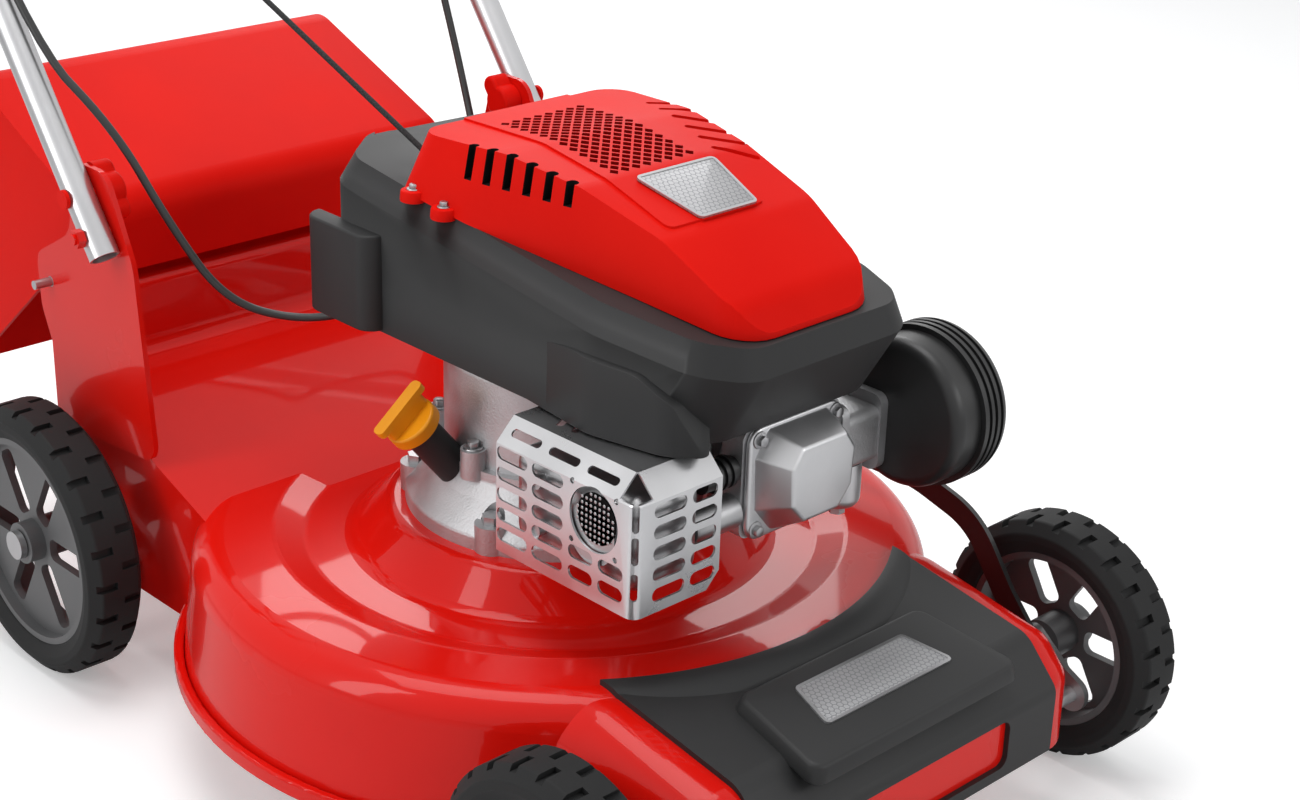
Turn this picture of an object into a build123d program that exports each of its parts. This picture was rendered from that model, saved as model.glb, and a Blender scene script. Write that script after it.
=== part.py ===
"""Push lawn mower with a 51 cm pressed-steel deck and a vertical-shaft petrol engine.

Everything is drawn from the crankshaft: the crank axis is the Z axis, the ground is z = 0,
the nose points along -Y and the operator stands at +Y, so +X is the operator's left.
The pieces are moved along Y when they are written, so that the origin of the part is the
middle of its box on the ground. All sizes are in millimetres.
"""

import math
import os

from build123d import *

os.makedirs("parts", exist_ok=True)

# Fits
RUN_FIT = 0.05
FREE_GAP = 0.4
BOLT_FIT = 0.3

# Deck
SHEET = 2.5
RIM_Z = 62
PAD_Z = 180
PAD_R = 124
TROUGH_Z = 153
TROUGH_IN_R = 150
TROUGH_OUT_R = 184
RING_Z = 160
RING_R = 206
SHOULDER_R = 262
SKIRT_R = 275
BEAD_R = 280
BEAD_H = 12
CRANK_OPENING_R = 40

# Nose of the deck and its trim
NOSE_HALF_W = 180
NOSE_TOP_Y = -212
NOSE_TOP_Z = 157
NOSE_EDGE_Y = -316
NOSE_EDGE_Z = 140
NOSE_FRONT_Y = -340
NOSE_CORNER_R = 34
TRIM_T = 4
TRIM_HALF_W = 141
TRIM_REAR_R = 240
TRIM_LOW_Z = 66
TRIM_RAISE = 9
TRIM_WINDOW_HALF_W = 92
TRIM_WINDOW_H = 36
BADGE_T = 2
BADGE_DEPTH = 4

# Rear tunnel, chute and flap
TUNNEL_HALF_W = 194
RAMP_START_Y = 100
RAMP_START_Z = 131
RAMP_END_Y = 340
RAMP_END_Z = 218
CHUTE_TOP_Z = 274
CHUTE_MOUTH_Y = 366
FLAP_AXIS_Y = 354
FLAP_AXIS_Z = 286
FLAP_HALF_W = 188
FLAP_TOP_HALF_W = 166
FLAP_T = 3
FLAP_LIP = 8
FLAP_FRONT_TOP_Z = 338
FLAP_RISE = 23
FLAP_TOP_LENGTH = 205
FLAP_REAR_Y = 556
FLAP_LOW_Z = 150
HINGE_ROD_R = 4
HINGE_ROD_END = 14
HOOK_PIN_R = 3.5

# Wheels, crank axles and height linkage
FRONT_WHEEL_R = 90
FRONT_WHEEL_Y = -272
REAR_WHEEL_R = 105
REAR_WHEEL_Y = 310
TYRE_W = 44
TYRE_WALL = 24
TYRE_INNER_X = 221
TREAD_DEPTH = 4
TREAD_GAP = 6
TREAD_COUNT = 24
HUB_R = 16
RIM_WALL = 5
RIM_WINDOWS = 6
AXLE_R = 6
AXLE_CAP_R = 11
AXLE_CAP_T = 5
ARM_T = 5
ARM_OUTER_X = 211
ARM_BACK = 40
ARM_UP = 20
ARM_END_R = 13
PIN_BACK = 37
PIN_UP = 30
PIN_R = 4
BAR_T = 4
BAR_X = 200
BAR_W = 18
BAR_Z = 189
PIN_END = 3
LEVER_ROD_R = 5
LEVER_BACK = 62
LEVER_UP = 190
LEVER_W = 20
LEVER_GRIP_R = 9
LEVER_GRIP_END = 257

# Engine block
SUMP_R = 112
SUMP_FLANGE_T = 10
BOSS_PCD_R = 104
BOSS_R = 12
BOSS_H = 20
BOSS_ANGLES = (21, 135, 201, 315)
BOLT_R = 4
PARTING_Z = 228
PARTING_T = 7
CASE_R = 84
CASE_TOP_Z = 298
CASE_FRONT_Y = -95
CYLINDER_X = 20
CYLINDER_Z = 264
BARREL_R = 38
FIN_COUNT = 7
FIN_PITCH = 11
FIN_T = 4
FIN_W = 92
FIN_H = 78
HEAD_Y = -182
HEAD_FRONT_Y = -200
COVER_W = 88
COVER_H = 80
COVER_FLANGE_T = 5
COVER_DEPTH = 30
LUG_COUNT = 7
LUG_START = 30
LUG_R = 9
BOLT_HEAD_R = 7
BOLT_HEAD_T = 6
BOOT_R = 11
BOOT_L = 30
BOOT_Z = 274
LEAD_R = 3.5

# Crank, flywheel and blade
SHAFT_R = 12.5
SHAFT_TOP_Z = 362
SHAFT_LOW_Z = 92
FLYWHEEL_R = 78
FLYWHEEL_Z = 304
FLYWHEEL_T = 16
FAN_H = 20
BLADE_TIP_R = 254
BLADE_W = 52
BLADE_T = 4
BLADE_Z = 78
BLADE_LIFT = 16
ADAPTER_R = 30
BLADE_EDGE_L = 110
BLADE_BOLT_R = 5
BLADE_BOLT_L = 30
FAN_COUNT = 16
FAN_PITCH_ANGLE = 25

# Exhaust
GUARD_X = -133
GUARD_INNER_X = -60
GUARD_FRONT_Y = -214
GUARD_REAR_Y = -84
GUARD_LOW_Z = 213
GUARD_TOP_Z = 300
GUARD_T = 1.6
GUARD_BEVEL = 17
OUTLET_R = 25
MUFFLER_GAP = 6
OUTLET_Y = -172
OUTLET_Z = 254
PIPE_R = 12
PIPE_Z = 244
GUARD_POST_Y = -120
GUARD_POST_R = 5
GUARD_POST_PITCH = 34
GUARD_SLOT_L = 22
GUARD_SLOT_W = 5
GUARD_SLOT_PITCH = 10

# Blower housing and cowl
HOUSING_LOW_Z = 305
HOUSING_WALL = 3
HOUSING_BEVEL = 20
HOUSING_BEVEL_ANGLE = 38
HOUSING_OUTLINE = (
    (-58, -216),
    (98, -216),
    (108, -150),
    (108, 96),
    (70, 140),
    (-60, 152),
    (-104, 128),
    (-102, -60),
    (-80, -170),
)
HOUSING_CORNERS = (26, 24, 40, 34, 40, 30, 24, 60, 40)
INLET_R = 62
TOP_SLOPE = 7.2
TOP_PIVOT_Y = 40
TOP_PIVOT_Z = 390
COWL_WALL = 3
COWL_TAPER = 13
COWL_TOP_Z = 455
COWL_OUTLINE = (
    (-46, -238),
    (78, -238),
    (94, -110),
    (90, 26),
    (-82, 26),
    (-86, -90),
)
COWL_CORNERS = (44, 44, 60, 26, 22, 60)
COWL_PROFILE = (
    (100, 300),
    (78, 453),
    (-30, 456),
    (-92, 447),
    (-158, 427),
    (-226, 300),
)
COWL_HALF_W = 96
SLOT_START_Y = -4
SLOT_PITCH = 15
SLOT_Z = 436
PLATE_X = 4
PLATE_Y = -125
PLATE_Z = 437.2
PLATE_SLOPE = 0.303
PLATE_T = 1.4
ROPE_EXIT = (-60, 64, 422)
ROPE_NOTCH_H = 34
BRIDGE_Z = 430
BRIDGE_W = 18
POST_R = 7
GRILLE_W = 84
GRILLE_L = 116
GRILLE_Y = -31
GRILLE_PITCH = 12
GRILLE_HOLE = 8.5
SLOT_COUNT = 6
SLOT_L = 20
SLOT_W = 6
ROPE_NOTCH_W = 26
PULLEY_R = 32
PULLEY_T = 14
ROPE_D = 4

# Carburettor, air filter, fuel and oil
CARB_Y = -184
CARB_Z = 264
CARB_LENGTH = 46
CARB_FLANGE_T = 7
BOWL_H = 34
FILTER_Y = -212
FILTER_Z = 280
FILTER_R = 57
FILTER_BASE_T = 24
FILTER_COVER_T = 28
TANK_X = 108
FUEL_CAP_Y = 34
FILLER_H = 12
TANK_W = 52
TANK_Y = 18
TANK_L = 150
TANK_LOW_Z = 302
TANK_TOP_Z = 402
FUEL_CAP_R = 25
FUEL_CAP_H = 22
NECK_R = 13
NECK_WALL = 3
NECK_L = 48
OIL_CAP_R = 19
STICK_R = 3
NECK_FOOT = (-84, 18, 218)
NECK_LEAN = (-0.62, 0.1, 0.78)
NECK_SINK = 14
OIL_CAP_H = 9
OIL_GRIP_H = 9

# Handles
TUBE_R = 11
TUBE_WALL = 1.6
HANDLE_X = 209
BRACKET_T = 4
HANDLE_LOW_Y = 254
HANDLE_LOW_Z = 335
HANDLE_ANGLE = 53.4
LOWER_TUBE_L = 600
KNOB_ALONG = 48
STUD_ALONG = 18
FOLD_BACK = 26
UPPER_STRAIGHT = 60
UPPER_ANGLE = 30
UPPER_LENGTH = 400
UPPER_BEND_R = 80
UPPER_CORNER_R = 62
GRIP_R = 15
GRIP_HALF_W = 150
KNOB_R = 23
KNOB_T = 16
STUD_R = 4
BAIL_R = 5
BAIL_ALONG = 110
BAIL_ANGLE = 24
BAIL_SIDE = 9
BAIL_IN = 6
BAIL_CORNER_R = 30
THROTTLE_ALONG = 62
THROTTLE_L = 56
THROTTLE_W = 20
THROTTLE_H = 24
THROTTLE_LEVER_L = 40
CABLE_D = 6
GUIDE_ALONG = 452
GUIDE_X = 160
GUIDE_R = 8
GUIDE_WIRE_R = 2.5
GRIP_GAP = 7
GRIP_STEM_R = 6
GRIP_STEM_L = 24
GRIP_BAR_R = 9
GRIP_BAR_L = 92
ROPE_EXIT_R = 24
ROPE_GUIDE_R = 14
BRACKET_OUTLINE = (
    (222, 182),
    (330, 172),
    (370, 262),
    (372, 304),
    (322, 332),
    (306, 392),
    (266, 392),
    (236, 330),
)
BRACKET_CORNERS = (14, 20, 30, 16, 24, 16, 18, 40)

# Values that follow from the driving sizes
HANDLE_DIR = (0, math.cos(math.radians(HANDLE_ANGLE)), math.sin(math.radians(HANDLE_ANGLE)))
UPPER_DIR = (0, math.cos(math.radians(UPPER_ANGLE)), math.sin(math.radians(UPPER_ANGLE)))
UPPER_X = HANDLE_X + 2 * TUBE_R + 1
FRONT_PIVOT = (FRONT_WHEEL_Y - ARM_BACK, FRONT_WHEEL_R - ARM_UP)
REAR_PIVOT = (REAR_WHEEL_Y - ARM_BACK, REAR_WHEEL_R - ARM_UP)
TYRE_OUTER_X = TYRE_INNER_X + TYRE_W


def along(start, direction, distance):
    """Point at a distance from a start point along a direction."""
    return tuple(start[i] + distance * direction[i] for i in range(3))


HANDLE_FOOT = (0, HANDLE_LOW_Y, HANDLE_LOW_Z)
FOLD_POINT = along(HANDLE_FOOT, HANDLE_DIR, LOWER_TUBE_L - FOLD_BACK)
FOLD_ALONG = LOWER_TUBE_L - FOLD_BACK
UPPER_BEND = along(FOLD_POINT, HANDLE_DIR, UPPER_STRAIGHT)
UPPER_END = along(UPPER_BEND, UPPER_DIR, UPPER_LENGTH)
FRONT_REACH = FRONT_WHEEL_R - FRONT_WHEEL_Y
REAR_REACH = UPPER_END[1] + GRIP_R
neck_plane = Plane(origin=NECK_FOOT, z_dir=NECK_LEAN)
FRAME = Location((0, (FRONT_REACH - REAR_REACH) / 2, 0))


def save(builder, name):
    """Label a finished piece, set it in the part's own frame and write it."""
    builder.part.label = name
    placed = builder.part.moved(FRAME)
    placed.label = name
    export_step(placed, f"parts/{name}.step")


def outline(points, radius):
    """Face with rounded corners in the sketch that calls it."""
    with BuildLine() as edge:
        FilletPolyline(*points, radius=radius, close=True)
    make_face(edge.edges())


def side_plane(x):
    """Plane across the mower at x, with sketch x along Y and sketch y up."""
    return Plane.YZ.offset(x)


def shaft_plane(point, direction):
    """Plane square to a direction at a point."""
    return Plane(origin=point, z_dir=direction)


def polar(radius, angle):
    """Point on a circle about the crank."""
    return (radius * math.cos(math.radians(angle)), radius * math.sin(math.radians(angle)))


# Deck shell: bowl, nose and rear tunnel pressed from one sheet
def bowl(inset):
    """Round part of the deck, with the engine pad, the trough and the outer ring."""
    low = RIM_Z - BEAD_H
    with BuildPart() as made:
        with BuildSketch(Plane.XZ):
            with BuildLine():
                FilletPolyline(
                    (0, PAD_Z - inset),
                    (PAD_R, PAD_Z - inset),
                    (TROUGH_IN_R, TROUGH_Z - inset),
                    (TROUGH_OUT_R, TROUGH_Z - inset),
                    (RING_R, RING_Z - inset),
                    (SHOULDER_R - inset, RING_Z - inset),
                    (SKIRT_R - inset, low),
                    radius=[10, 14, 14, 12, 24 - inset],
                )
                Polyline((SKIRT_R - inset, low), (0, low), (0, PAD_Z - inset))
            make_face()
        revolve(axis=Axis.Z)
    return made.part


def nose(inset):
    """Front of the deck between the wheels."""
    low = RIM_Z - BEAD_H
    width = NOSE_HALF_W - inset
    with BuildPart() as made:
        with BuildSketch(side_plane(-width)):
            outline(
                [
                    (NOSE_TOP_Y + 110, low),
                    (NOSE_TOP_Y + 110, NOSE_TOP_Z - inset),
                    (NOSE_TOP_Y, NOSE_TOP_Z - inset),
                    (NOSE_EDGE_Y, NOSE_EDGE_Z - inset),
                    (NOSE_FRONT_Y + inset, NOSE_EDGE_Z - 26),
                    (NOSE_FRONT_Y + inset, low),
                ],
                [0, 0, 40, 22, 14, 0],
            )
        extrude(amount=2 * width)
        fillet(made.edges().filter_by(Axis.Z).group_by(Axis.Y)[0], NOSE_CORNER_R - inset)
        with BuildSketch(Plane.XY):
            Circle(RING_R)
        extrude(amount=PAD_Z, mode=Mode.SUBTRACT)
    return made.part


def tunnel(inset, past):
    """Rear of the deck, where the clippings rise to the chute. The mouth is open by past."""
    low = RIM_Z - BEAD_H
    width = TUNNEL_HALF_W - inset
    with BuildPart() as made:
        with BuildSketch(side_plane(-width)):
            outline(
                [
                    (RAMP_START_Y, low),
                    (RAMP_START_Y, RAMP_START_Z - inset),
                    (RAMP_END_Y + inset, RAMP_END_Z - inset),
                    (RAMP_END_Y + 5 + inset, CHUTE_TOP_Z - inset),
                    (CHUTE_MOUTH_Y + past, CHUTE_TOP_Z - inset),
                    (CHUTE_MOUTH_Y + past, low),
                ],
                [0, 0, 16 + inset, 9 - inset, 0, 0],
            )
        extrude(amount=2 * width)
    return made.part


with BuildPart() as deck_shell:
    add(bowl(0))
    with BuildSketch(Plane.XZ):
        with Locations(((SKIRT_R + BEAD_R) / 2 - 1, RIM_Z + BEAD_H / 2)):
            RectangleRounded(BEAD_R - SKIRT_R + 2, BEAD_H, 2)
    revolve(axis=Axis.Z)
    add(nose(0))
    add(tunnel(0, 0))
    add(bowl(SHEET), mode=Mode.SUBTRACT)
    add(nose(SHEET), mode=Mode.SUBTRACT)
    add(tunnel(SHEET, SHEET), mode=Mode.SUBTRACT)
    split(bisect_by=Plane.XY.offset(RIM_Z), keep=Keep.TOP)
    # Opening for the crank and the bolt holes of the engine pad
    with BuildSketch(Plane.XY.offset(PAD_Z)):
        Circle(CRANK_OPENING_R)
        with Locations(*[polar(BOSS_PCD_R, angle) for angle in BOSS_ANGLES]):
            Circle(BOLT_R + BOLT_FIT)
    extrude(amount=-2 * SHEET, mode=Mode.SUBTRACT)
    # Bores for the two crank axles
    for pivot in (FRONT_PIVOT, REAR_PIVOT):
        with BuildSketch(side_plane(-TUNNEL_HALF_W)):
            with Locations(pivot):
                Circle(AXLE_R + RUN_FIT)
        extrude(amount=2 * TUNNEL_HALF_W, mode=Mode.SUBTRACT)
save(deck_shell, "deck_shell")

# Nose trim: moulded cover over the nose with a raised badge frame and a carry window
NOSE_SLOPE = (NOSE_TOP_Z - NOSE_EDGE_Z) / (NOSE_TOP_Y - NOSE_EDGE_Y)
BADGE_Y = (NOSE_TOP_Y + NOSE_EDGE_Y) / 2 - 32
BADGE_Z = NOSE_TOP_Z + TRIM_T + NOSE_SLOPE * (BADGE_Y - NOSE_TOP_Y)
badge_plane = Plane(origin=(0, BADGE_Y, BADGE_Z), x_dir=(1, 0, 0), z_dir=(0, -NOSE_SLOPE, 1))


def badge_outline(grow):
    """Trapezoid of the badge, wider towards the front, grown on every side."""
    outline(
        [(-52 - grow, 20 + grow), (52 + grow, 20 + grow), (62 + grow, -18 - grow), (-62 - grow, -18 - grow)],
        4 + grow / 2,
    )


with BuildPart() as nose_trim:
    add(nose(-TRIM_T))
    add(bowl(-TRIM_T))
    with BuildSketch(Plane.XY):
        with Locations((0, NOSE_FRONT_Y)):
            Rectangle(2 * TRIM_HALF_W, 2 * (NOSE_FRONT_Y + TRIM_REAR_R * 0.8) * -1)
        Circle(TRIM_REAR_R, mode=Mode.SUBTRACT)
    extrude(amount=PAD_Z, mode=Mode.INTERSECT)
    split(bisect_by=Plane.XY.offset(TRIM_LOW_Z), keep=Keep.TOP)
    with BuildSketch(badge_plane):
        badge_outline(14)
    extrude(amount=TRIM_RAISE)
    frame_top = nose_trim.faces().sort_by_distance((0, BADGE_Y, BADGE_Z + TRIM_RAISE))[0]
    fillet(frame_top.edges(), 3)
    with BuildSketch(badge_plane.offset(TRIM_RAISE)):
        badge_outline(0.3)
    extrude(amount=-BADGE_DEPTH, mode=Mode.SUBTRACT)
    add(nose(0), mode=Mode.SUBTRACT)
    add(bowl(0), mode=Mode.SUBTRACT)
    with BuildSketch(Plane.XZ.offset(-NOSE_FRONT_Y - TRIM_T)):
        with Locations((0, TRIM_LOW_Z + 8 + TRIM_WINDOW_H / 2)):
            RectangleRounded(2 * TRIM_WINDOW_HALF_W, TRIM_WINDOW_H, 8)
    extrude(amount=3 * TRIM_T, both=True, mode=Mode.SUBTRACT)
save(nose_trim, "nose_trim")

with BuildPart() as nose_badge:
    with BuildSketch(badge_plane.offset(TRIM_RAISE - BADGE_DEPTH)):
        badge_outline(0)
    extrude(amount=BADGE_T)
save(nose_badge, "nose_badge")

# Sump: cast lower half of the engine, bolted to the pad of the deck
with BuildPart() as engine_sump:
    with BuildSketch(Plane.XZ):
        with BuildLine():
            FilletPolyline(
                (0, PAD_Z),
                (SUMP_R, PAD_Z),
                (SUMP_R, PAD_Z + SUMP_FLANGE_T),
                (CASE_R + 12, PARTING_Z - 18),
                (CASE_R + 6, PARTING_Z - PARTING_T),
                (CASE_R + 6, PARTING_Z),
                (0, PARTING_Z),
                radius=[0, 4, 10, 4, 0],
            )
            Line((0, PARTING_Z), (0, PAD_Z))
        make_face()
    revolve(axis=Axis.Z)
    with BuildSketch(Plane.XY.offset(PAD_Z)):
        with Locations(*[polar(BOSS_PCD_R, angle) for angle in BOSS_ANGLES]):
            Circle(BOSS_R)
    extrude(amount=BOSS_H)
    with BuildSketch(Plane.XY.offset(PARTING_Z - PARTING_T)):
        with PolarLocations(CASE_R + 4, LUG_COUNT, start_angle=LUG_START):
            Circle(LUG_R)
    extrude(amount=PARTING_T)
    with BuildSketch(Plane.XY.offset(PAD_Z)):
        Circle(SHAFT_R + RUN_FIT)
        with Locations(*[polar(BOSS_PCD_R, angle) for angle in BOSS_ANGLES]):
            Circle(BOLT_R + BOLT_FIT)
    extrude(amount=PARTING_Z - PAD_Z, mode=Mode.SUBTRACT)
    # Room for the bolt heads above the bosses
    with BuildSketch(Plane.XY.offset(PAD_Z + BOSS_H)):
        with Locations(*[polar(BOSS_PCD_R, angle) for angle in BOSS_ANGLES]):
            Circle(BOLT_HEAD_R + 2)
    extrude(amount=PARTING_Z - PAD_Z - BOSS_H - PARTING_T, mode=Mode.SUBTRACT)
    with BuildSketch(neck_plane.offset(-NECK_SINK)):
        Circle(NECK_R)
    extrude(amount=NECK_L, mode=Mode.SUBTRACT)
save(engine_sump, "engine_sump")

# Four bolts that hold the engine on the deck, each with its washer head and nut
with BuildPart() as engine_bolts:
    for angle in BOSS_ANGLES:
        with BuildSketch(Plane.XY.offset(PAD_Z + BOSS_H)):
            with Locations(polar(BOSS_PCD_R, angle)):
                RegularPolygon(BOLT_HEAD_R, 6)
        extrude(amount=BOLT_HEAD_T)
        with BuildSketch(Plane.XY.offset(PAD_Z - SHEET - BOLT_HEAD_T)):
            with Locations(polar(BOSS_PCD_R, angle)):
                RegularPolygon(BOLT_HEAD_R, 6)
        extrude(amount=BOLT_HEAD_T)
        with BuildSketch(Plane.XY.offset(PAD_Z - SHEET - BOLT_HEAD_T)):
            with Locations(polar(BOSS_PCD_R, angle)):
                Circle(BOLT_R)
        extrude(amount=BOSS_H + SHEET + BOLT_HEAD_T)
save(engine_bolts, "engine_bolts")

# Crankcase: cast upper half, with a flat front for the cylinder
with BuildPart() as crankcase:
    with BuildSketch(Plane.XY.offset(PARTING_Z)):
        Circle(CASE_R)
        with Locations((CYLINDER_X, CASE_FRONT_Y / 2)):
            Rectangle(FIN_W, -CASE_FRONT_Y)
    extrude(amount=CASE_TOP_Z - PARTING_Z)
    fillet(crankcase.edges().filter_by(Axis.Z), 8)
    fillet(crankcase.edges().group_by(Axis.Z)[-1], 6)
    with BuildSketch(Plane.XY.offset(PARTING_Z)):
        with PolarLocations(CASE_R + 4, LUG_COUNT, start_angle=LUG_START):
            Circle(LUG_R)
    extrude(amount=2 * PARTING_T)
    with BuildSketch(Plane.XY.offset(PARTING_Z)):
        Circle(SHAFT_R + RUN_FIT)
    extrude(amount=CASE_TOP_Z - PARTING_Z, mode=Mode.SUBTRACT)
    with BuildSketch(neck_plane.offset(-NECK_SINK)):
        Circle(NECK_R + BOLT_FIT)
    extrude(amount=NECK_L + NECK_SINK, mode=Mode.SUBTRACT)
save(crankcase, "crankcase")

# Cylinder: barrel with cooling fins and the head in one casting
with BuildPart() as cylinder:
    with BuildSketch(Plane.XZ.offset(-CASE_FRONT_Y)):
        with Locations((CYLINDER_X, CYLINDER_Z)):
            Circle(BARREL_R)
    extrude(amount=CASE_FRONT_Y - HEAD_Y)
    for number in range(FIN_COUNT):
        with BuildSketch(Plane.XZ.offset(-CASE_FRONT_Y + FIN_PITCH * (number + 0.5))):
            with Locations((CYLINDER_X, CYLINDER_Z)):
                RectangleRounded(FIN_W, FIN_H, 8)
        extrude(amount=FIN_T)
    with BuildSketch(Plane.XZ.offset(-HEAD_Y)):
        with Locations((CYLINDER_X, CYLINDER_Z)):
            RectangleRounded(FIN_W, FIN_H, 8)
    extrude(amount=HEAD_Y - HEAD_FRONT_Y)
save(cylinder, "cylinder")

# Valve cover: deep-drawn lid on the head
with BuildPart() as valve_cover:
    with BuildSketch(Plane.XZ.offset(-HEAD_FRONT_Y)):
        with Locations((CYLINDER_X, CYLINDER_Z)):
            RectangleRounded(COVER_W, COVER_H, 12)
    extrude(amount=COVER_FLANGE_T)
    with BuildSketch(Plane.XZ.offset(-HEAD_FRONT_Y + COVER_FLANGE_T)):
        with Locations((CYLINDER_X, CYLINDER_Z + 2)):
            RectangleRounded(COVER_W - 22, COVER_H - 14, 14)
    extrude(amount=COVER_DEPTH - COVER_FLANGE_T, taper=16)
    fillet(valve_cover.faces().sort_by(Axis.Y)[0].edges(), 5)
save(valve_cover, "valve_cover")

# Spark plug boot with its lead, on the right side of the head
with BuildPart() as spark_plug_boot:
    boot_x = CYLINDER_X - FIN_W / 2
    boot_y = (HEAD_Y + HEAD_FRONT_Y) / 2
    with BuildSketch(side_plane(boot_x)):
        with Locations((boot_y, BOOT_Z)):
            Circle(BOOT_R - 2)
    extrude(amount=-BOOT_L)
    for number in range(3):
        with BuildSketch(side_plane(boot_x - 5 - 6 * number)):
            with Locations((boot_y, BOOT_Z)):
                Circle(BOOT_R)
        extrude(amount=-3)
    with BuildSketch(Plane.XY.offset(BOOT_Z)):
        with Locations((boot_x - BOOT_L + LEAD_R + 2, boot_y)):
            Circle(LEAD_R)
    extrude(amount=HOUSING_LOW_Z + 14 - BOOT_Z)
save(spark_plug_boot, "spark_plug_boot")

# Muffler with its outlet and the pipe from the head
with BuildPart() as muffler:
    low = (
        GUARD_X + GUARD_T + MUFFLER_GAP,
        GUARD_FRONT_Y + GUARD_T + MUFFLER_GAP,
        GUARD_LOW_Z + MUFFLER_GAP,
    )
    high = (
        GUARD_INNER_X - MUFFLER_GAP,
        GUARD_REAR_Y - MUFFLER_GAP,
        GUARD_TOP_Z - MUFFLER_GAP - GUARD_BEVEL / 2,
    )
    with Locations([tuple((low[i] + high[i]) / 2 for i in range(3))]):
        Box(high[0] - low[0], high[1] - low[1], high[2] - low[2])
    fillet(muffler.edges(), 12)
    with BuildSketch(side_plane(low[0] + 1)):
        with Locations((OUTLET_Y, OUTLET_Z)):
            Circle(OUTLET_R - 4)
    extrude(amount=-MUFFLER_GAP)
    # Posts that carry the guard
    with BuildSketch(side_plane(low[0] + 1)):
        with Locations((GUARD_POST_Y, OUTLET_Z)):
            with GridLocations(0, GUARD_POST_PITCH, 1, 2):
                Circle(GUARD_POST_R)
    extrude(amount=-MUFFLER_GAP - 1)
    with BuildSketch(side_plane(high[0] - 1)):
        with Locations((boot_y, PIPE_Z)):
            Circle(PIPE_R)
    extrude(amount=boot_x - high[0] + 1)
save(muffler, "muffler")

# Muffler guard: slotted sheet box, open to the engine, behind and below
with BuildPart() as muffler_guard:
    guard_mid_y = (GUARD_FRONT_Y + GUARD_REAR_Y) / 2
    guard_mid_z = (GUARD_LOW_Z + GUARD_TOP_Z) / 2
    with Locations(((GUARD_X + GUARD_INNER_X) / 2, guard_mid_y, guard_mid_z)):
        Box(GUARD_INNER_X - GUARD_X, GUARD_REAR_Y - GUARD_FRONT_Y, GUARD_TOP_Z - GUARD_LOW_Z)
    top_edges = muffler_guard.edges().group_by(Axis.Z)[-1]
    chamfer([top_edges.sort_by(Axis.X)[0], top_edges.sort_by(Axis.Y)[0]], GUARD_BEVEL)
    offset(
        amount=-GUARD_T,
        openings=[
            muffler_guard.faces().sort_by(Axis.X)[-1],
            muffler_guard.faces().sort_by(Axis.Y)[-1],
            muffler_guard.faces().sort_by(Axis.Z)[0],
        ],
    )
    # Slots of the right face, clear of the round outlet opening
    with BuildSketch(side_plane(GUARD_X)):
        with Locations((guard_mid_y, guard_mid_z - GUARD_BEVEL / 2)):
            with GridLocations(GUARD_SLOT_L + 6, GUARD_SLOT_PITCH, 4, 6):
                SlotOverall(GUARD_SLOT_L, GUARD_SLOT_W)
        with Locations((OUTLET_Y, OUTLET_Z)):
            Circle(OUTLET_R + 8, mode=Mode.SUBTRACT)
            Circle(OUTLET_R)
    extrude(amount=2 * GUARD_T, both=True, mode=Mode.SUBTRACT)
    # Slots of the front face
    with BuildSketch(Plane.XZ.offset(-GUARD_FRONT_Y)):
        with Locations(((GUARD_X + GUARD_INNER_X) / 2 + 2, guard_mid_z - GUARD_BEVEL / 2)):
            with GridLocations(GUARD_SLOT_L + 6, GUARD_SLOT_PITCH, 2, 6):
                SlotOverall(GUARD_SLOT_L, GUARD_SLOT_W)
    extrude(amount=2 * GUARD_T, both=True, mode=Mode.SUBTRACT)
    # Long slots of the bevel
    bevel_plane = Plane(
        origin=(GUARD_X + GUARD_BEVEL / 2, guard_mid_y, GUARD_TOP_Z - GUARD_BEVEL / 2),
        x_dir=(0, 1, 0),
        z_dir=(-1, 0, 1),
    )
    with BuildSketch(bevel_plane):
        with GridLocations(36, 0, 3, 1):
            SlotOverall(28, 6)
    extrude(amount=2 * GUARD_T, both=True, mode=Mode.SUBTRACT)
save(muffler_guard, "muffler_guard")

# Oil filler neck and the dipstick that slides out of it
with BuildPart() as oil_filler_neck:
    with BuildSketch(neck_plane.offset(-NECK_SINK)):
        Circle(NECK_R - RUN_FIT)
        Circle(NECK_R - NECK_WALL, mode=Mode.SUBTRACT)
    extrude(amount=NECK_L + NECK_SINK)
    add(crankcase.part, mode=Mode.SUBTRACT)
save(oil_filler_neck, "oil_filler_neck")

with BuildPart() as oil_dipstick:
    with BuildSketch(neck_plane.offset(NECK_L)):
        Circle(OIL_CAP_R)
    extrude(amount=OIL_CAP_H)
    fillet(oil_dipstick.edges().group_by(Axis(neck_plane.origin, neck_plane.z_dir))[-1], 2)
    with BuildSketch(neck_plane.offset(NECK_L + OIL_CAP_H)):
        RectangleRounded(2 * OIL_CAP_R - 2, 8, 3)
    extrude(amount=OIL_GRIP_H)
    with BuildSketch(neck_plane.offset(NECK_L + OIL_CAP_H + OIL_GRIP_H)):
        RectangleRounded(2 * OIL_CAP_R + 8, 11, 4)
    extrude(amount=5)
    with BuildSketch(neck_plane.offset(NECK_L)):
        Circle(NECK_R - NECK_WALL - FREE_GAP)
    extrude(amount=-12)
    with BuildSketch(neck_plane.offset(NECK_L - 12)):
        Circle(STICK_R)
    extrude(amount=12 - NECK_L - NECK_SINK + 2)
save(oil_dipstick, "oil_dipstick")

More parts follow.
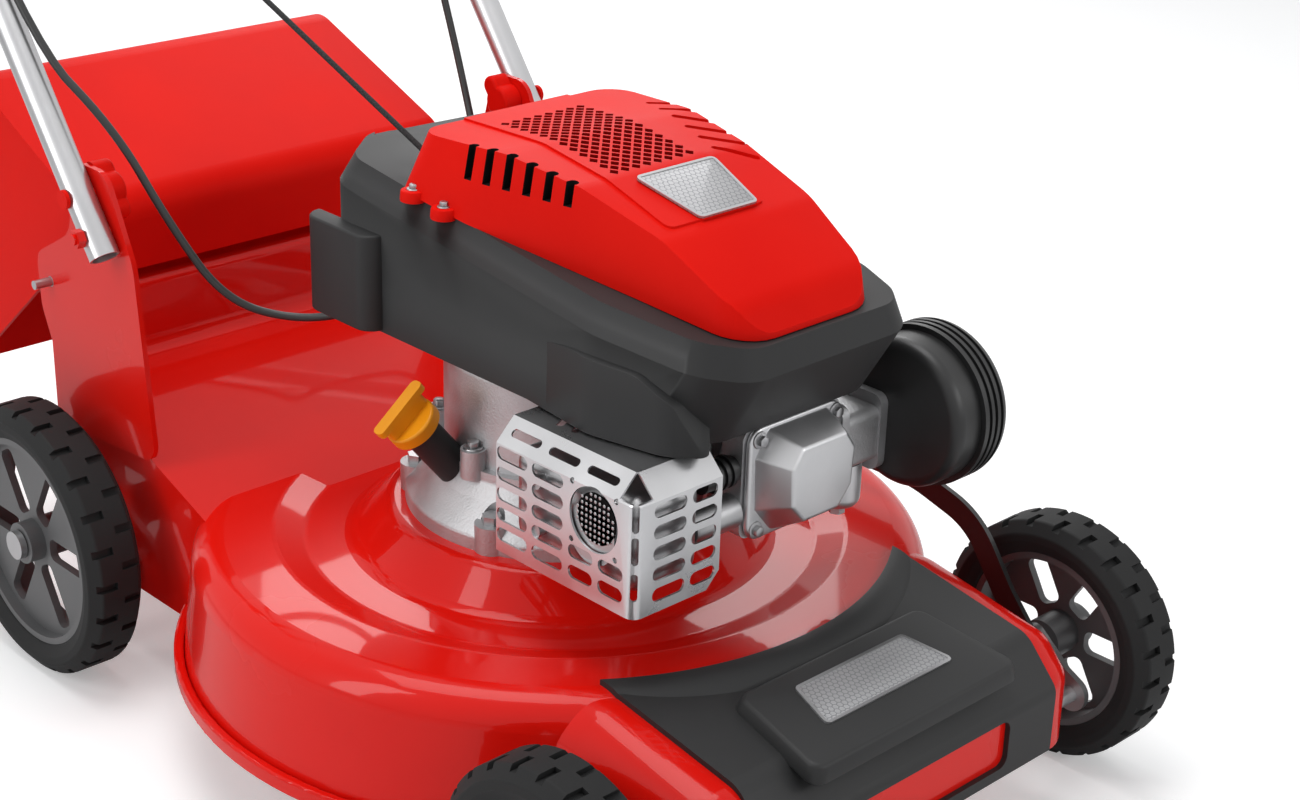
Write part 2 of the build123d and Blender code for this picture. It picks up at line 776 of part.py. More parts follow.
# Crank group: shaft, flywheel with its fan, blade adapter, blade and bolt
with BuildPart() as crankshaft:
    with BuildSketch(Plane.XY.offset(SHAFT_LOW_Z)):
        Circle(SHAFT_R)
    extrude(amount=SHAFT_TOP_Z - SHAFT_LOW_Z)
    chamfer(crankshaft.edges().group_by(Axis.Z)[-1], 1.5)
    with BuildSketch(Plane.XY.offset(SHAFT_LOW_Z)):
        Circle(BLADE_BOLT_R + BOLT_FIT)
    extrude(amount=BLADE_BOLT_L, mode=Mode.SUBTRACT)
save(crankshaft, "crankshaft")

with BuildPart() as flywheel:
    with BuildSketch(Plane.XY.offset(FLYWHEEL_Z)):
        Circle(FLYWHEEL_R)
        Circle(SHAFT_R + RUN_FIT, mode=Mode.SUBTRACT)
    extrude(amount=FLYWHEEL_T)
    with BuildSketch(Plane.XY.offset(FLYWHEEL_Z + FLYWHEEL_T)):
        Circle(SHAFT_R + 14)
        Circle(SHAFT_R + RUN_FIT, mode=Mode.SUBTRACT)
        with PolarLocations(FLYWHEEL_R - 22, FAN_COUNT):
            with Locations(Location((0, 0, 0), FAN_PITCH_ANGLE)):
                Rectangle(30, 3)
    extrude(amount=FAN_H)
save(flywheel, "flywheel")

with BuildPart() as blade_adapter:
    with BuildSketch(Plane.XY.offset(BLADE_Z + BLADE_T)):
        RectangleRounded(2 * ADAPTER_R + 8, BLADE_W - 6, 10)
    extrude(amount=8)
    with BuildSketch(Plane.XY.offset(BLADE_Z + BLADE_T + 8)):
        Circle(SHAFT_R + 9)
    extrude(amount=34)
    with BuildSketch(Plane.XY.offset(SHAFT_LOW_Z)):
        Circle(SHAFT_R + RUN_FIT)
    extrude(amount=60, mode=Mode.SUBTRACT)
    with BuildSketch(Plane.XY.offset(BLADE_Z)):
        Circle(BLADE_BOLT_R + BOLT_FIT)
    extrude(amount=40, mode=Mode.SUBTRACT)
save(blade_adapter, "blade_adapter")

with BuildPart() as blade:
    with BuildSketch(Plane.XY.offset(BLADE_Z)):
        Rectangle(2 * BLADE_TIP_R, BLADE_W)
        Circle(BLADE_TIP_R, mode=Mode.INTERSECT)
        Circle(BLADE_BOLT_R + BOLT_FIT, mode=Mode.SUBTRACT)
    extrude(amount=BLADE_T)
    # Sharpened leading edges and raised wings at the trailing edges
    for side in (-1, 1):
        with BuildSketch(Plane.YZ.offset(side * (BLADE_TIP_R - BLADE_EDGE_L))):
            with BuildLine():
                lead = side * BLADE_W / 2
                Polyline(
                    (lead, BLADE_Z + BLADE_T),
                    (lead, BLADE_Z),
                    (lead - side * 9, BLADE_Z + BLADE_T),
                    close=True,
                )
            make_face()
        extrude(amount=side * BLADE_EDGE_L, mode=Mode.SUBTRACT)
        with BuildSketch(Plane.YZ.offset(side * (BLADE_TIP_R - BLADE_EDGE_L))):
            with BuildLine():
                trail = -side * BLADE_W / 2
                Polyline(
                    (trail, BLADE_Z + BLADE_T),
                    (trail + side * 14, BLADE_Z + BLADE_T),
                    (trail + side * 4, BLADE_Z + BLADE_T + BLADE_LIFT),
                    (trail, BLADE_Z + BLADE_T + BLADE_LIFT),
                    close=True,
                )
            make_face()
        extrude(amount=side * (BLADE_EDGE_L - 8))
save(blade, "blade")

with BuildPart() as blade_bolt:
    with BuildSketch(Plane.XY.offset(BLADE_Z)):
        Circle(19)
    extrude(amount=-3)
    with BuildSketch(Plane.XY.offset(BLADE_Z - 3)):
        RegularPolygon(9, 6)
    extrude(amount=-8)
    with BuildSketch(Plane.XY.offset(BLADE_Z)):
        Circle(BLADE_BOLT_R)
    extrude(amount=SHAFT_LOW_Z - BLADE_Z + BLADE_BOLT_L - 4)
save(blade_bolt, "blade_bolt")

# Tilted plane on which the cowl sits on the blower housing
top_normal = (0, -math.sin(math.radians(TOP_SLOPE)), math.cos(math.radians(TOP_SLOPE)))
top_plane = Plane(origin=(0, TOP_PIVOT_Y, TOP_PIVOT_Z), x_dir=(1, 0, 0), z_dir=top_normal)


def housing_block(inset):
    """Black shroud round the engine: upright walls, a bevel and a flat tilted top."""
    edge_plane = top_plane.offset(-HOUSING_BEVEL - inset)
    with BuildPart() as made:
        with BuildSketch(edge_plane) as foot:
            outline([(x, y - TOP_PIVOT_Y) for x, y in HOUSING_OUTLINE], HOUSING_CORNERS)
            if inset:
                offset(amount=-inset)
        extrude(amount=TOP_PIVOT_Z, dir=(0, 0, -1))
        extrude(foot.sketch, amount=HOUSING_BEVEL, taper=HOUSING_BEVEL_ANGLE)
        split(bisect_by=Plane.XY.offset(HOUSING_LOW_Z), keep=Keep.TOP)
    return made.part


def cowl_block(inset):
    """Red engine cover: tapered walls under a top that falls towards the front."""
    with BuildPart() as made:
        with BuildSketch(top_plane) as foot:
            outline(COWL_OUTLINE, COWL_CORNERS)
            if inset:
                offset(amount=-inset)
        extrude(amount=COWL_TOP_Z - TOP_PIVOT_Z + 60, taper=COWL_TAPER)
        with BuildSketch(side_plane(-FLYWHEEL_R * 2)):
            outline([(y, z - inset) for y, z in COWL_PROFILE], [0, 16, 60, 50, 40, 0])
        extrude(amount=FLYWHEEL_R * 4, mode=Mode.INTERSECT)
    return made.part


with BuildPart() as blower_housing:
    add(housing_block(0))
    add(housing_block(HOUSING_WALL), mode=Mode.SUBTRACT)
    # Round inlet under the cowl
    with BuildSketch(top_plane):
        with Locations((0, -TOP_PIVOT_Y)):
            Circle(INLET_R)
    extrude(amount=4 * HOUSING_WALL, both=True, mode=Mode.SUBTRACT)
save(blower_housing, "blower_housing")


# Cowl: shell with a lozenge grille, side slots, louvres, a plate recess and the rope notch
plate_plane = Plane(origin=(PLATE_X, PLATE_Y, PLATE_Z), x_dir=(1, 0, 0), z_dir=(0, -PLATE_SLOPE, 1))


def plate_outline(grow):
    """Trapezoid of the cowl plate, narrower towards the front, grown on every side."""
    outline(
        [(-36 - grow, 27 + grow), (36 + grow, 27 + grow), (26 + grow, -27 - grow), (-26 - grow, -27 - grow)],
        4,
    )


def grille_points():
    """Staggered places of the grille holes round the middle of the grille."""
    rows = int(GRILLE_L / GRILLE_PITCH * 2)
    for row in range(rows):
        shift = GRILLE_PITCH / 2 * (row % 2)
        for column in range(int(GRILLE_W / GRILLE_PITCH) - row % 2):
            x = (column + 0.5) * GRILLE_PITCH - GRILLE_W / 2 + shift
            yield (x, GRILLE_Y + (row + 0.5) * GRILLE_PITCH / 2 - GRILLE_L / 2)


with BuildPart() as cowl:
    add(cowl_block(0))
    add(cowl_block(COWL_WALL), mode=Mode.SUBTRACT)
    with BuildSketch(Plane.XY.offset(COWL_TOP_Z + COWL_WALL)):
        with Locations(*grille_points()):
            Rectangle(GRILLE_HOLE * 0.62, GRILLE_HOLE * 0.62, rotation=45)
    extrude(amount=-6 * COWL_WALL, mode=Mode.SUBTRACT)
    # Upright slots through the right shoulder and louvres through the left one
    for number in range(SLOT_COUNT):
        slot_y = SLOT_START_Y - SLOT_PITCH * number
        with BuildSketch(side_plane(-COWL_HALF_W)):
            with Locations((slot_y, SLOT_Z)):
                SlotOverall(SLOT_L, SLOT_W, rotation=90)
        extrude(amount=COWL_HALF_W / 2, mode=Mode.SUBTRACT)
        with BuildSketch(side_plane(COWL_HALF_W)):
            with Locations((slot_y, SLOT_Z)):
                SlotOverall(SLOT_L + 6, SLOT_W, rotation=60)
        extrude(amount=-COWL_HALF_W / 2, mode=Mode.SUBTRACT)
    with BuildSketch(plate_plane):
        plate_outline(BOLT_FIT)
    extrude(amount=-PLATE_T, mode=Mode.SUBTRACT)
    # Notch in the rear wall where the starter rope leaves
    with BuildSketch(Plane.XZ.offset(-ROPE_EXIT[1] - ROPE_NOTCH_W)):
        with Locations((ROPE_EXIT[0], ROPE_EXIT[2])):
            RectangleRounded(ROPE_NOTCH_W, ROPE_NOTCH_H, 5)
    extrude(amount=2 * ROPE_NOTCH_W, mode=Mode.SUBTRACT)
    # Bridge under the grille with the post of the starter pulley
    with BuildSketch(Plane.XY.offset(BRIDGE_Z)):
        with Locations((0, 0)):
            Rectangle(2 * COWL_HALF_W, BRIDGE_W)
    extrude(amount=COWL_WALL)
    add(cowl_block(0), mode=Mode.INTERSECT)
    with BuildSketch(Plane.XY.offset(BRIDGE_Z)):
        Circle(POST_R)
    extrude(amount=-PULLEY_T - 2 * FREE_GAP)
    with BuildSketch(Plane.XY.offset(BRIDGE_Z - PULLEY_T - 2 * FREE_GAP)):
        Circle(POST_R + 4)
    extrude(amount=-COWL_WALL)
save(cowl, "cowl")

with BuildPart() as cowl_plate:
    with BuildSketch(plate_plane.offset(-PLATE_T)):
        plate_outline(0)
    extrude(amount=PLATE_T)
save(cowl_plate, "cowl_plate")

with BuildPart() as starter_pulley:
    with BuildSketch(Plane.XZ):
        with BuildLine():
            low = BRIDGE_Z - PULLEY_T - FREE_GAP
            Polyline(
                (POST_R + RUN_FIT, low),
                (PULLEY_R, low),
                (PULLEY_R, low + 3),
                (PULLEY_R - 8, low + 5),
                (PULLEY_R - 8, low + PULLEY_T - 5),
                (PULLEY_R, low + PULLEY_T - 3),
                (PULLEY_R, low + PULLEY_T),
                (POST_R + RUN_FIT, low + PULLEY_T),
                close=True,
            )
        make_face()
    revolve(axis=Axis.Z)
save(starter_pulley, "starter_pulley")

# Carburettor with its float bowl, and the round air filter
head_left = CYLINDER_X + FIN_W / 2
with BuildPart() as carburettor:
    with BuildSketch(side_plane(head_left)):
        with Locations((CARB_Y - 6, CARB_Z)):
            RectangleRounded(28, 58, 8)
    extrude(amount=CARB_FLANGE_T)
    with BuildSketch(side_plane(head_left + CARB_FLANGE_T)):
        with Locations((CARB_Y, CARB_Z)):
            RectangleRounded(38, 40, 7)
    extrude(amount=CARB_LENGTH - 2 * CARB_FLANGE_T)
    with BuildSketch(side_plane(head_left + CARB_LENGTH - CARB_FLANGE_T)):
        with Locations((CARB_Y, CARB_Z)):
            RectangleRounded(40, 56, 8)
    extrude(amount=CARB_FLANGE_T)
save(carburettor, "carburettor")

with BuildPart() as float_bowl:
    bowl_x = head_left + CARB_LENGTH / 2
    with BuildSketch(Plane.XY.offset(CARB_Z - 20)):
        with Locations((bowl_x, CARB_Y)):
            Circle(CARB_LENGTH / 2 - CARB_FLANGE_T - FREE_GAP)
    extrude(amount=-BOWL_H)
    fillet(float_bowl.edges().group_by(Axis.Z)[0], 8)
    with BuildSketch(Plane.XY.offset(CARB_Z - 20 - BOWL_H)):
        with Locations((bowl_x, CARB_Y)):
            RegularPolygon(6, 6)
    extrude(amount=-6)
save(float_bowl, "float_bowl")

filter_x = head_left + CARB_LENGTH
with BuildPart() as air_filter_base:
    with BuildSketch(side_plane(filter_x)):
        with Locations((FILTER_Y, FILTER_Z)):
            Circle(FILTER_R - 4)
    extrude(amount=FILTER_BASE_T)
    fillet(air_filter_base.edges().group_by(Axis.X)[0], 8)
save(air_filter_base, "air_filter_base")

with BuildPart() as air_filter_cover:
    with BuildSketch(side_plane(filter_x + FILTER_BASE_T)):
        with Locations((FILTER_Y, FILTER_Z)):
            Circle(FILTER_R)
    extrude(amount=FILTER_COVER_T)
    fillet(air_filter_cover.edges().group_by(Axis.X)[-1], 10)
    for number in range(3):
        with BuildSketch(side_plane(filter_x + FILTER_BASE_T + 4 + 6 * number)):
            with Locations((FILTER_Y, FILTER_Z)):
                Circle(FILTER_R)
                Circle(FILTER_R - 2, mode=Mode.SUBTRACT)
        extrude(amount=3, mode=Mode.SUBTRACT)
save(air_filter_cover, "air_filter_cover")

# Fuel tank beside the housing, with a screw cap
with BuildPart() as fuel_tank:
    with Locations((TANK_X + TANK_W / 2, TANK_Y, (TANK_LOW_Z + TANK_TOP_Z) / 2)):
        Box(TANK_W, TANK_L, TANK_TOP_Z - TANK_LOW_Z)
    fillet(fuel_tank.edges().filter_by(Axis.Z).group_by(Axis.X)[-1], 22)
    fillet(fuel_tank.edges().group_by(Axis.Z)[-1], 10)
    with BuildSketch(Plane.XY.offset(TANK_TOP_Z)):
        with Locations((TANK_X + TANK_W / 2, FUEL_CAP_Y)):
            Circle(FUEL_CAP_R - 5)
    extrude(amount=FILLER_H)
    with BuildSketch(Plane.XY.offset(TANK_TOP_Z + FILLER_H)):
        with Locations((TANK_X + TANK_W / 2, FUEL_CAP_Y)):
            Circle(FUEL_CAP_R - 9)
    extrude(amount=-FILLER_H - 6, mode=Mode.SUBTRACT)
save(fuel_tank, "fuel_tank")

with BuildPart() as fuel_cap:
    with BuildSketch(Plane.XY.offset(TANK_TOP_Z + FREE_GAP)):
        with Locations((TANK_X + TANK_W / 2, FUEL_CAP_Y)):
            Circle(FUEL_CAP_R)
    extrude(amount=FUEL_CAP_H)
    fillet(fuel_cap.edges().group_by(Axis.Z)[-1], 4)
    with BuildSketch(Plane.XY.offset(TANK_TOP_Z + FREE_GAP)):
        with Locations((TANK_X + TANK_W / 2, FUEL_CAP_Y)):
            Circle(FUEL_CAP_R - 5 + RUN_FIT)
    extrude(amount=FILLER_H, mode=Mode.SUBTRACT)
    with BuildSketch(Plane.XY.offset(TANK_TOP_Z + FREE_GAP)):
        with Locations((TANK_X + TANK_W / 2, FUEL_CAP_Y)):
            with PolarLocations(FUEL_CAP_R + 1, 12):
                Circle(3)
    extrude(amount=FUEL_CAP_H, mode=Mode.SUBTRACT)
save(fuel_cap, "fuel_cap")


# Wheels: a tyre with staggered tread blocks on a dished plastic rim
def tyre(side, wheel_y, radius):
    """Rubber tyre of one wheel."""
    centre = (side * (TYRE_INNER_X + TYRE_W / 2), wheel_y, radius)
    half = TYRE_W / 2
    rim = radius - TYRE_WALL
    with BuildPart() as made:
        with BuildSketch(Plane(origin=centre, x_dir=(1, 0, 0), z_dir=(0, -1, 0))):
            outline(
                [
                    (-half + 4, rim),
                    (-half, rim + 9),
                    (-half, radius - 9),
                    (-half + 7, radius),
                    (half - 7, radius),
                    (half, radius - 9),
                    (half, rim + 9),
                    (half - 4, rim),
                ],
                3,
            )
        revolve(axis=Axis(centre, (1, 0, 0)))
        for edge in (-1, 1):
            block_plane = Plane(
                origin=(centre[0] + edge * TYRE_W * 0.29, wheel_y, radius), x_dir=(0, 1, 0), z_dir=(1, 0, 0)
            )
            with BuildSketch(block_plane.offset(-TYRE_W * 0.23)):
                with PolarLocations(radius, TREAD_COUNT, start_angle=(1 + edge) * 90 / TREAD_COUNT):
                    Rectangle(2 * TREAD_DEPTH, TREAD_GAP)
            extrude(amount=TYRE_W * 0.46, mode=Mode.SUBTRACT)
    return made


def rim(side, wheel_y, radius):
    """Plastic rim of one wheel: hub, dished web with six windows, and the seat of the tyre."""
    centre = (side * (TYRE_INNER_X + TYRE_W / 2), wheel_y, radius)
    half = TYRE_W / 2
    seat = radius - TYRE_WALL - RUN_FIT
    with BuildPart() as made:
        with BuildSketch(Plane(origin=centre, x_dir=(1, 0, 0), z_dir=(0, -1, 0))):
            with Locations((0, (HUB_R + AXLE_R + RUN_FIT) / 2)):
                Rectangle(TYRE_W - 2, HUB_R - AXLE_R - RUN_FIT)
            with Locations((side * 6, (HUB_R - 2 + seat) / 2)):
                Rectangle(6, seat - HUB_R + 2)
            with Locations((0, seat - RIM_WALL / 2)):
                Rectangle(TYRE_W - 10, RIM_WALL)
        revolve(axis=Axis(centre, (1, 0, 0)))
        window = (HUB_R + seat - RIM_WALL) / 2
        with BuildSketch(Plane(origin=centre, x_dir=(0, 1, 0), z_dir=(1, 0, 0)).offset(-half)):
            with PolarLocations(window, RIM_WINDOWS):
                RectangleRounded(seat - RIM_WALL - HUB_R - 10, 18, 6)
        extrude(amount=TYRE_W, mode=Mode.SUBTRACT)
    return made


for side, hand in ((-1, "right"), (1, "left")):
    for wheel_y, radius, end in (
        (FRONT_WHEEL_Y, FRONT_WHEEL_R, "front"),
        (REAR_WHEEL_Y, REAR_WHEEL_R, "rear"),
    ):
        save(tyre(side, wheel_y, radius), f"tyre_{end}_{hand}")
        save(rim(side, wheel_y, radius), f"rim_{end}_{hand}")


# Crank axles: a cross rod in the deck with an arm and a stub axle at each end
def crank_axle(pivot, wheel_y, radius, lever):
    """Bent axle that carries two wheels and turns in the deck to set the height."""
    arm_inner = ARM_OUTER_X - ARM_T
    pin_point = (pivot[0] + PIN_BACK, pivot[1] + PIN_UP)
    lever_top = (pivot[0] + LEVER_BACK, pivot[1] + LEVER_UP)
    with BuildPart() as made:
        with BuildSketch(side_plane(-ARM_OUTER_X)):
            with Locations(pivot):
                Circle(AXLE_R)
        extrude(amount=2 * ARM_OUTER_X)
        for side in (-1, 1):
            with BuildSketch(side_plane(side * arm_inner)):
                with Locations(pivot, (wheel_y, radius)):
                    Circle(ARM_END_R)
                make_hull()
            extrude(amount=side * ARM_T)
            with BuildSketch(side_plane(side * arm_inner)):
                with Locations((wheel_y, radius)):
                    Circle(AXLE_R)
            extrude(amount=side * (TYRE_OUTER_X - arm_inner))
            with BuildSketch(side_plane(side * TYRE_OUTER_X)):
                with Locations((wheel_y, radius)):
                    Circle(AXLE_CAP_R)
            extrude(amount=side * AXLE_CAP_T)
        # Lug and pin for the height bar on the left arm
        with BuildSketch(side_plane(arm_inner)):
            with Locations(pin_point, (wheel_y, radius), pivot):
                Circle(PIN_R + 6)
            make_hull()
        extrude(amount=ARM_T)
        with BuildSketch(side_plane(arm_inner)):
            with Locations(pin_point):
                Circle(PIN_R)
        extrude(amount=BAR_X - PIN_END - arm_inner)
        if lever:
            with BuildSketch(side_plane(arm_inner)):
                with Locations(pivot, lever_top):
                    Circle(LEVER_W / 2)
                make_hull()
            extrude(amount=ARM_T)
            with BuildSketch(side_plane(arm_inner)):
                with Locations(lever_top):
                    Circle(LEVER_ROD_R)
            extrude(amount=LEVER_GRIP_END - 4 - arm_inner)
    return made


save(crank_axle(FRONT_PIVOT, FRONT_WHEEL_Y, FRONT_WHEEL_R, False), "front_axle")
save(crank_axle(REAR_PIVOT, REAR_WHEEL_Y, REAR_WHEEL_R, True), "rear_axle")

with BuildPart() as height_lever_grip:
    lever_top = (REAR_PIVOT[0] + LEVER_BACK, REAR_PIVOT[1] + LEVER_UP)
    with BuildSketch(side_plane(ARM_OUTER_X)):
        with Locations(lever_top):
            Circle(LEVER_GRIP_R)
    extrude(amount=LEVER_GRIP_END - ARM_OUTER_X)
    fillet(height_lever_grip.edges(), 3)
    with BuildSketch(side_plane(ARM_OUTER_X)):
        with Locations(lever_top):
            Circle(LEVER_ROD_R + RUN_FIT)
    extrude(amount=LEVER_GRIP_END - 4 - ARM_OUTER_X, mode=Mode.SUBTRACT)
save(height_lever_grip, "height_lever_grip")

# Height bar: flat steel that ties the two crank axles, arched over the left shoulder of the deck
front_pin = (FRONT_PIVOT[0] + PIN_BACK, FRONT_PIVOT[1] + PIN_UP)
rear_pin = (REAR_PIVOT[0] + PIN_BACK, REAR_PIVOT[1] + PIN_UP)
with BuildPart() as height_bar:
    with BuildSketch(side_plane(BAR_X)):
        with BuildLine():
            FilletPolyline(
                front_pin,
                (front_pin[0] + 25, front_pin[1] + 28),
                (front_pin[0] + 57, BAR_Z - 16),
                (front_pin[0] + 115, BAR_Z),
                (rear_pin[0] - 78, BAR_Z),
                rear_pin,
                radius=[60, 60, 120, 60],
            )
        trace(line_width=BAR_W)
        with Locations(front_pin, rear_pin):
            Circle(BAR_W / 2 + 1)
        with Locations(rear_pin):
            Circle(PIN_R + RUN_FIT, mode=Mode.SUBTRACT)
        with Locations(front_pin):
            Circle(PIN_R + FREE_GAP, mode=Mode.SUBTRACT)
    extrude(amount=BAR_T)
save(height_bar, "height_bar")

# Handle brackets on the sides of the tunnel, with a welded stud for the foot of each tube
stud_point = along(HANDLE_FOOT, HANDLE_DIR, STUD_ALONG)
knob_point = along(HANDLE_FOOT, HANDLE_DIR, KNOB_ALONG)
for side, hand in ((-1, "right"), (1, "left")):
    with BuildPart() as bracket:
        with BuildSketch(side_plane(side * TUNNEL_HALF_W)):
            outline(BRACKET_OUTLINE, BRACKET_CORNERS)
            with Locations((FLAP_AXIS_Y, FLAP_AXIS_Z)):
                Circle(HINGE_ROD_R + RUN_FIT, mode=Mode.SUBTRACT)
            with Locations(knob_point[1:]):
                Circle(STUD_R + BOLT_FIT, mode=Mode.SUBTRACT)
        extrude(amount=side * BRACKET_T)
        with BuildSketch(side_plane(side * (TUNNEL_HALF_W + BRACKET_T))):
            with Locations(stud_point[1:]):
                Circle(STUD_R)
        extrude(amount=side * (2 * TUBE_R + 8))
        with BuildSketch(side_plane(side * (HANDLE_X + TUBE_R))):
            with Locations(stud_point[1:]):
                RegularPolygon(BOLT_HEAD_R, 6)
        extrude(amount=side * BOLT_HEAD_T)
    save(bracket, f"handle_bracket_{hand}")

# Lower handle tubes, straight and bolted to the brackets
for side, hand in ((-1, "right"), (1, "left")):
    with BuildPart() as lower_tube:
        foot = (side * HANDLE_X, HANDLE_LOW_Y, HANDLE_LOW_Z)
        with BuildSketch(shaft_plane(foot, HANDLE_DIR)):
            Circle(TUBE_R)
            Circle(TUBE_R - TUBE_WALL, mode=Mode.SUBTRACT)
        extrude(amount=LOWER_TUBE_L)
        with BuildSketch(side_plane(side * (HANDLE_X - 2 * TUBE_R))):
            with Locations(stud_point[1:], knob_point[1:], FOLD_POINT[1:]):
                Circle(STUD_R + BOLT_FIT)
        extrude(amount=side * 4 * TUBE_R, mode=Mode.SUBTRACT)
    save(lower_tube, f"lower_handle_{hand}")

# Upper handle: one bent tube that folds forward about the two upper studs
bail_pivot = along(UPPER_BEND, UPPER_DIR, BAIL_ALONG)
with BuildPart() as upper_handle:
    tail = along(FOLD_POINT, HANDLE_DIR, -FOLD_BACK)
    with BuildLine() as path:
        FilletPolyline(
            (UPPER_X, *tail[1:]),
            (UPPER_X, *UPPER_BEND[1:]),
            (UPPER_X, *UPPER_END[1:]),
            (-UPPER_X, *UPPER_END[1:]),
            (-UPPER_X, *UPPER_BEND[1:]),
            (-UPPER_X, *tail[1:]),
            radius=[UPPER_BEND_R, UPPER_CORNER_R, UPPER_CORNER_R, UPPER_BEND_R],
        )
    with BuildSketch(shaft_plane(path.line @ 0, path.line % 0)):
        Circle(TUBE_R)
        Circle(TUBE_R - TUBE_WALL, mode=Mode.SUBTRACT)
    sweep()
    with BuildSketch(side_plane(-UPPER_X - 2 * TUBE_R)):
        with Locations(FOLD_POINT[1:]):
            Circle(STUD_R + BOLT_FIT)
    extrude(amount=2 * UPPER_X + 4 * TUBE_R, mode=Mode.SUBTRACT)
    for side in (-1, 1):
        with BuildSketch(side_plane(side * (UPPER_X - 2 * TUBE_R))):
            with Locations(bail_pivot[1:]):
                Circle(BAIL_R + RUN_FIT)
        extrude(amount=side * 2 * TUBE_R, mode=Mode.SUBTRACT)
save(upper_handle, "upper_handle")

with BuildPart() as handle_grip:
    with BuildSketch(side_plane(-GRIP_HALF_W)):
        with Locations(UPPER_END[1:]):
            Circle(GRIP_R)
            Circle(TUBE_R + RUN_FIT, mode=Mode.SUBTRACT)
    extrude(amount=2 * GRIP_HALF_W)
    fillet(handle_grip.edges().filter_by(GeomType.CIRCLE).filter_by(lambda e: e.radius > TUBE_R + 1), 2)
save(handle_grip, "handle_grip")

# Brake bail: bent rod held by the operator against the grip
bail_angle = math.radians(UPPER_ANGLE + BAIL_ANGLE)
bail_reach = UPPER_LENGTH - BAIL_ALONG
bail_end = along(bail_pivot, (0, math.cos(bail_angle), math.sin(bail_angle)), bail_reach)
bail_x = UPPER_X - TUBE_R - BAIL_SIDE
with BuildPart() as brake_bail:
    with BuildLine() as path:
        FilletPolyline(
            (UPPER_X - TUBE_R + BAIL_IN, *bail_pivot[1:]),
            (bail_x, *bail_pivot[1:]),
            (bail_x, *bail_end[1:]),
            (-bail_x, *bail_end[1:]),
            (-bail_x, *bail_pivot[1:]),
            (-UPPER_X + TUBE_R - BAIL_IN, *bail_pivot[1:]),
            radius=[BAIL_R + 1, BAIL_CORNER_R, BAIL_CORNER_R, BAIL_R + 1],
        )
    with BuildSketch(shaft_plane(path.line @ 0, path.line % 0)):
        Circle(BAIL_R)
    sweep()
save(brake_bail, "brake_bail")

# Throttle housing on the left of the upper handle, and its lever
upper_normal = (0, -UPPER_DIR[2], UPPER_DIR[1])
throttle_foot = along(along(UPPER_BEND, UPPER_DIR, THROTTLE_ALONG), upper_normal, TUBE_R)
throttle_plane = Plane(origin=(UPPER_X, *throttle_foot[1:]), x_dir=(1, 0, 0), z_dir=upper_normal)
throttle_axis = along(throttle_foot, upper_normal, THROTTLE_H * 0.55)
with BuildPart() as throttle_housing:
    with BuildSketch(throttle_plane):
        RectangleRounded(THROTTLE_W, THROTTLE_L, 5)
    extrude(amount=THROTTLE_H)
    lid = throttle_housing.faces().sort_by(Axis(throttle_plane.origin, throttle_plane.z_dir))[-1]
    fillet(lid.edges(), 3)
    with BuildSketch(side_plane(UPPER_X + THROTTLE_W / 2)):
        with Locations(throttle_axis[1:]):
            Circle(STUD_R + RUN_FIT)
    extrude(amount=-THROTTLE_W / 2, mode=Mode.SUBTRACT)
save(throttle_housing, "throttle_housing")

with BuildPart() as throttle_lever:
    lever_x = UPPER_X + THROTTLE_W / 2 + FREE_GAP
    lever_tip = along(throttle_axis, upper_normal, THROTTLE_LEVER_L)
    with BuildSketch(side_plane(lever_x)):
        with Locations(throttle_axis[1:]):
            Circle(9)
        with Locations(lever_tip[1:]):
            Circle(5)
        make_hull()
    extrude(amount=4)
    with BuildSketch(side_plane(lever_x)):
        with Locations(lever_tip[1:]):
            Circle(7)
    extrude(amount=8)
    with BuildSketch(side_plane(lever_x)):
        with Locations(throttle_axis[1:]):
            Circle(STUD_R)
    extrude(amount=-THROTTLE_W / 2 + 2)
save(throttle_lever, "throttle_lever")


# Wing knobs: two lobes on a boss, moulded on a stud
def wing_knob(side, inner_x, point, stud_length):
    """Knob on the inner side of a handle tube, with its stud and end nut."""
    with BuildPart() as made:
        with BuildSketch(side_plane(side * inner_x)):
            with Locations(point[1:]):
                SlotOverall(2 * KNOB_R, KNOB_R * 0.7, rotation=HANDLE_ANGLE)
                Circle(KNOB_R * 0.58)
        extrude(amount=-side * KNOB_T)
        fillet(made.edges().group_by(Axis.X)[0 if side > 0 else -1], 3)
        with BuildSketch(side_plane(side * inner_x)):
            with Locations(point[1:]):
                Circle(STUD_R)
        extrude(amount=side * stud_length)
        with BuildSketch(side_plane(side * (inner_x + stud_length))):
            with Locations(point[1:]):
                Circle(BOLT_HEAD_R)
        extrude(amount=side * BOLT_HEAD_T / 2)
    return made


for side, hand in ((-1, "right"), (1, "left")):
    lower_inner = TUNNEL_HALF_W - FREE_GAP
    lower_stud = HANDLE_X + TUBE_R + FREE_GAP - lower_inner
    save(wing_knob(side, lower_inner, knob_point, lower_stud), f"lower_knob_{hand}")
    upper_inner = HANDLE_X - TUBE_R - FREE_GAP
    upper_stud = UPPER_X + TUBE_R + FREE_GAP - upper_inner
    save(wing_knob(side, upper_inner, FOLD_POINT, upper_stud), f"upper_knob_{hand}")

# Flap: deep moulded hood that closes the chute, hinged at its front edge
flap_axis = (FLAP_AXIS_Y, FLAP_AXIS_Z)
flap_rise = math.radians(FLAP_RISE)
flap_front_y = FLAP_AXIS_Y - FLAP_LIP
flap_top_y = flap_front_y + FLAP_TOP_LENGTH * math.cos(flap_rise)
flap_top_z = FLAP_FRONT_TOP_Z + FLAP_TOP_LENGTH * math.sin(flap_rise)


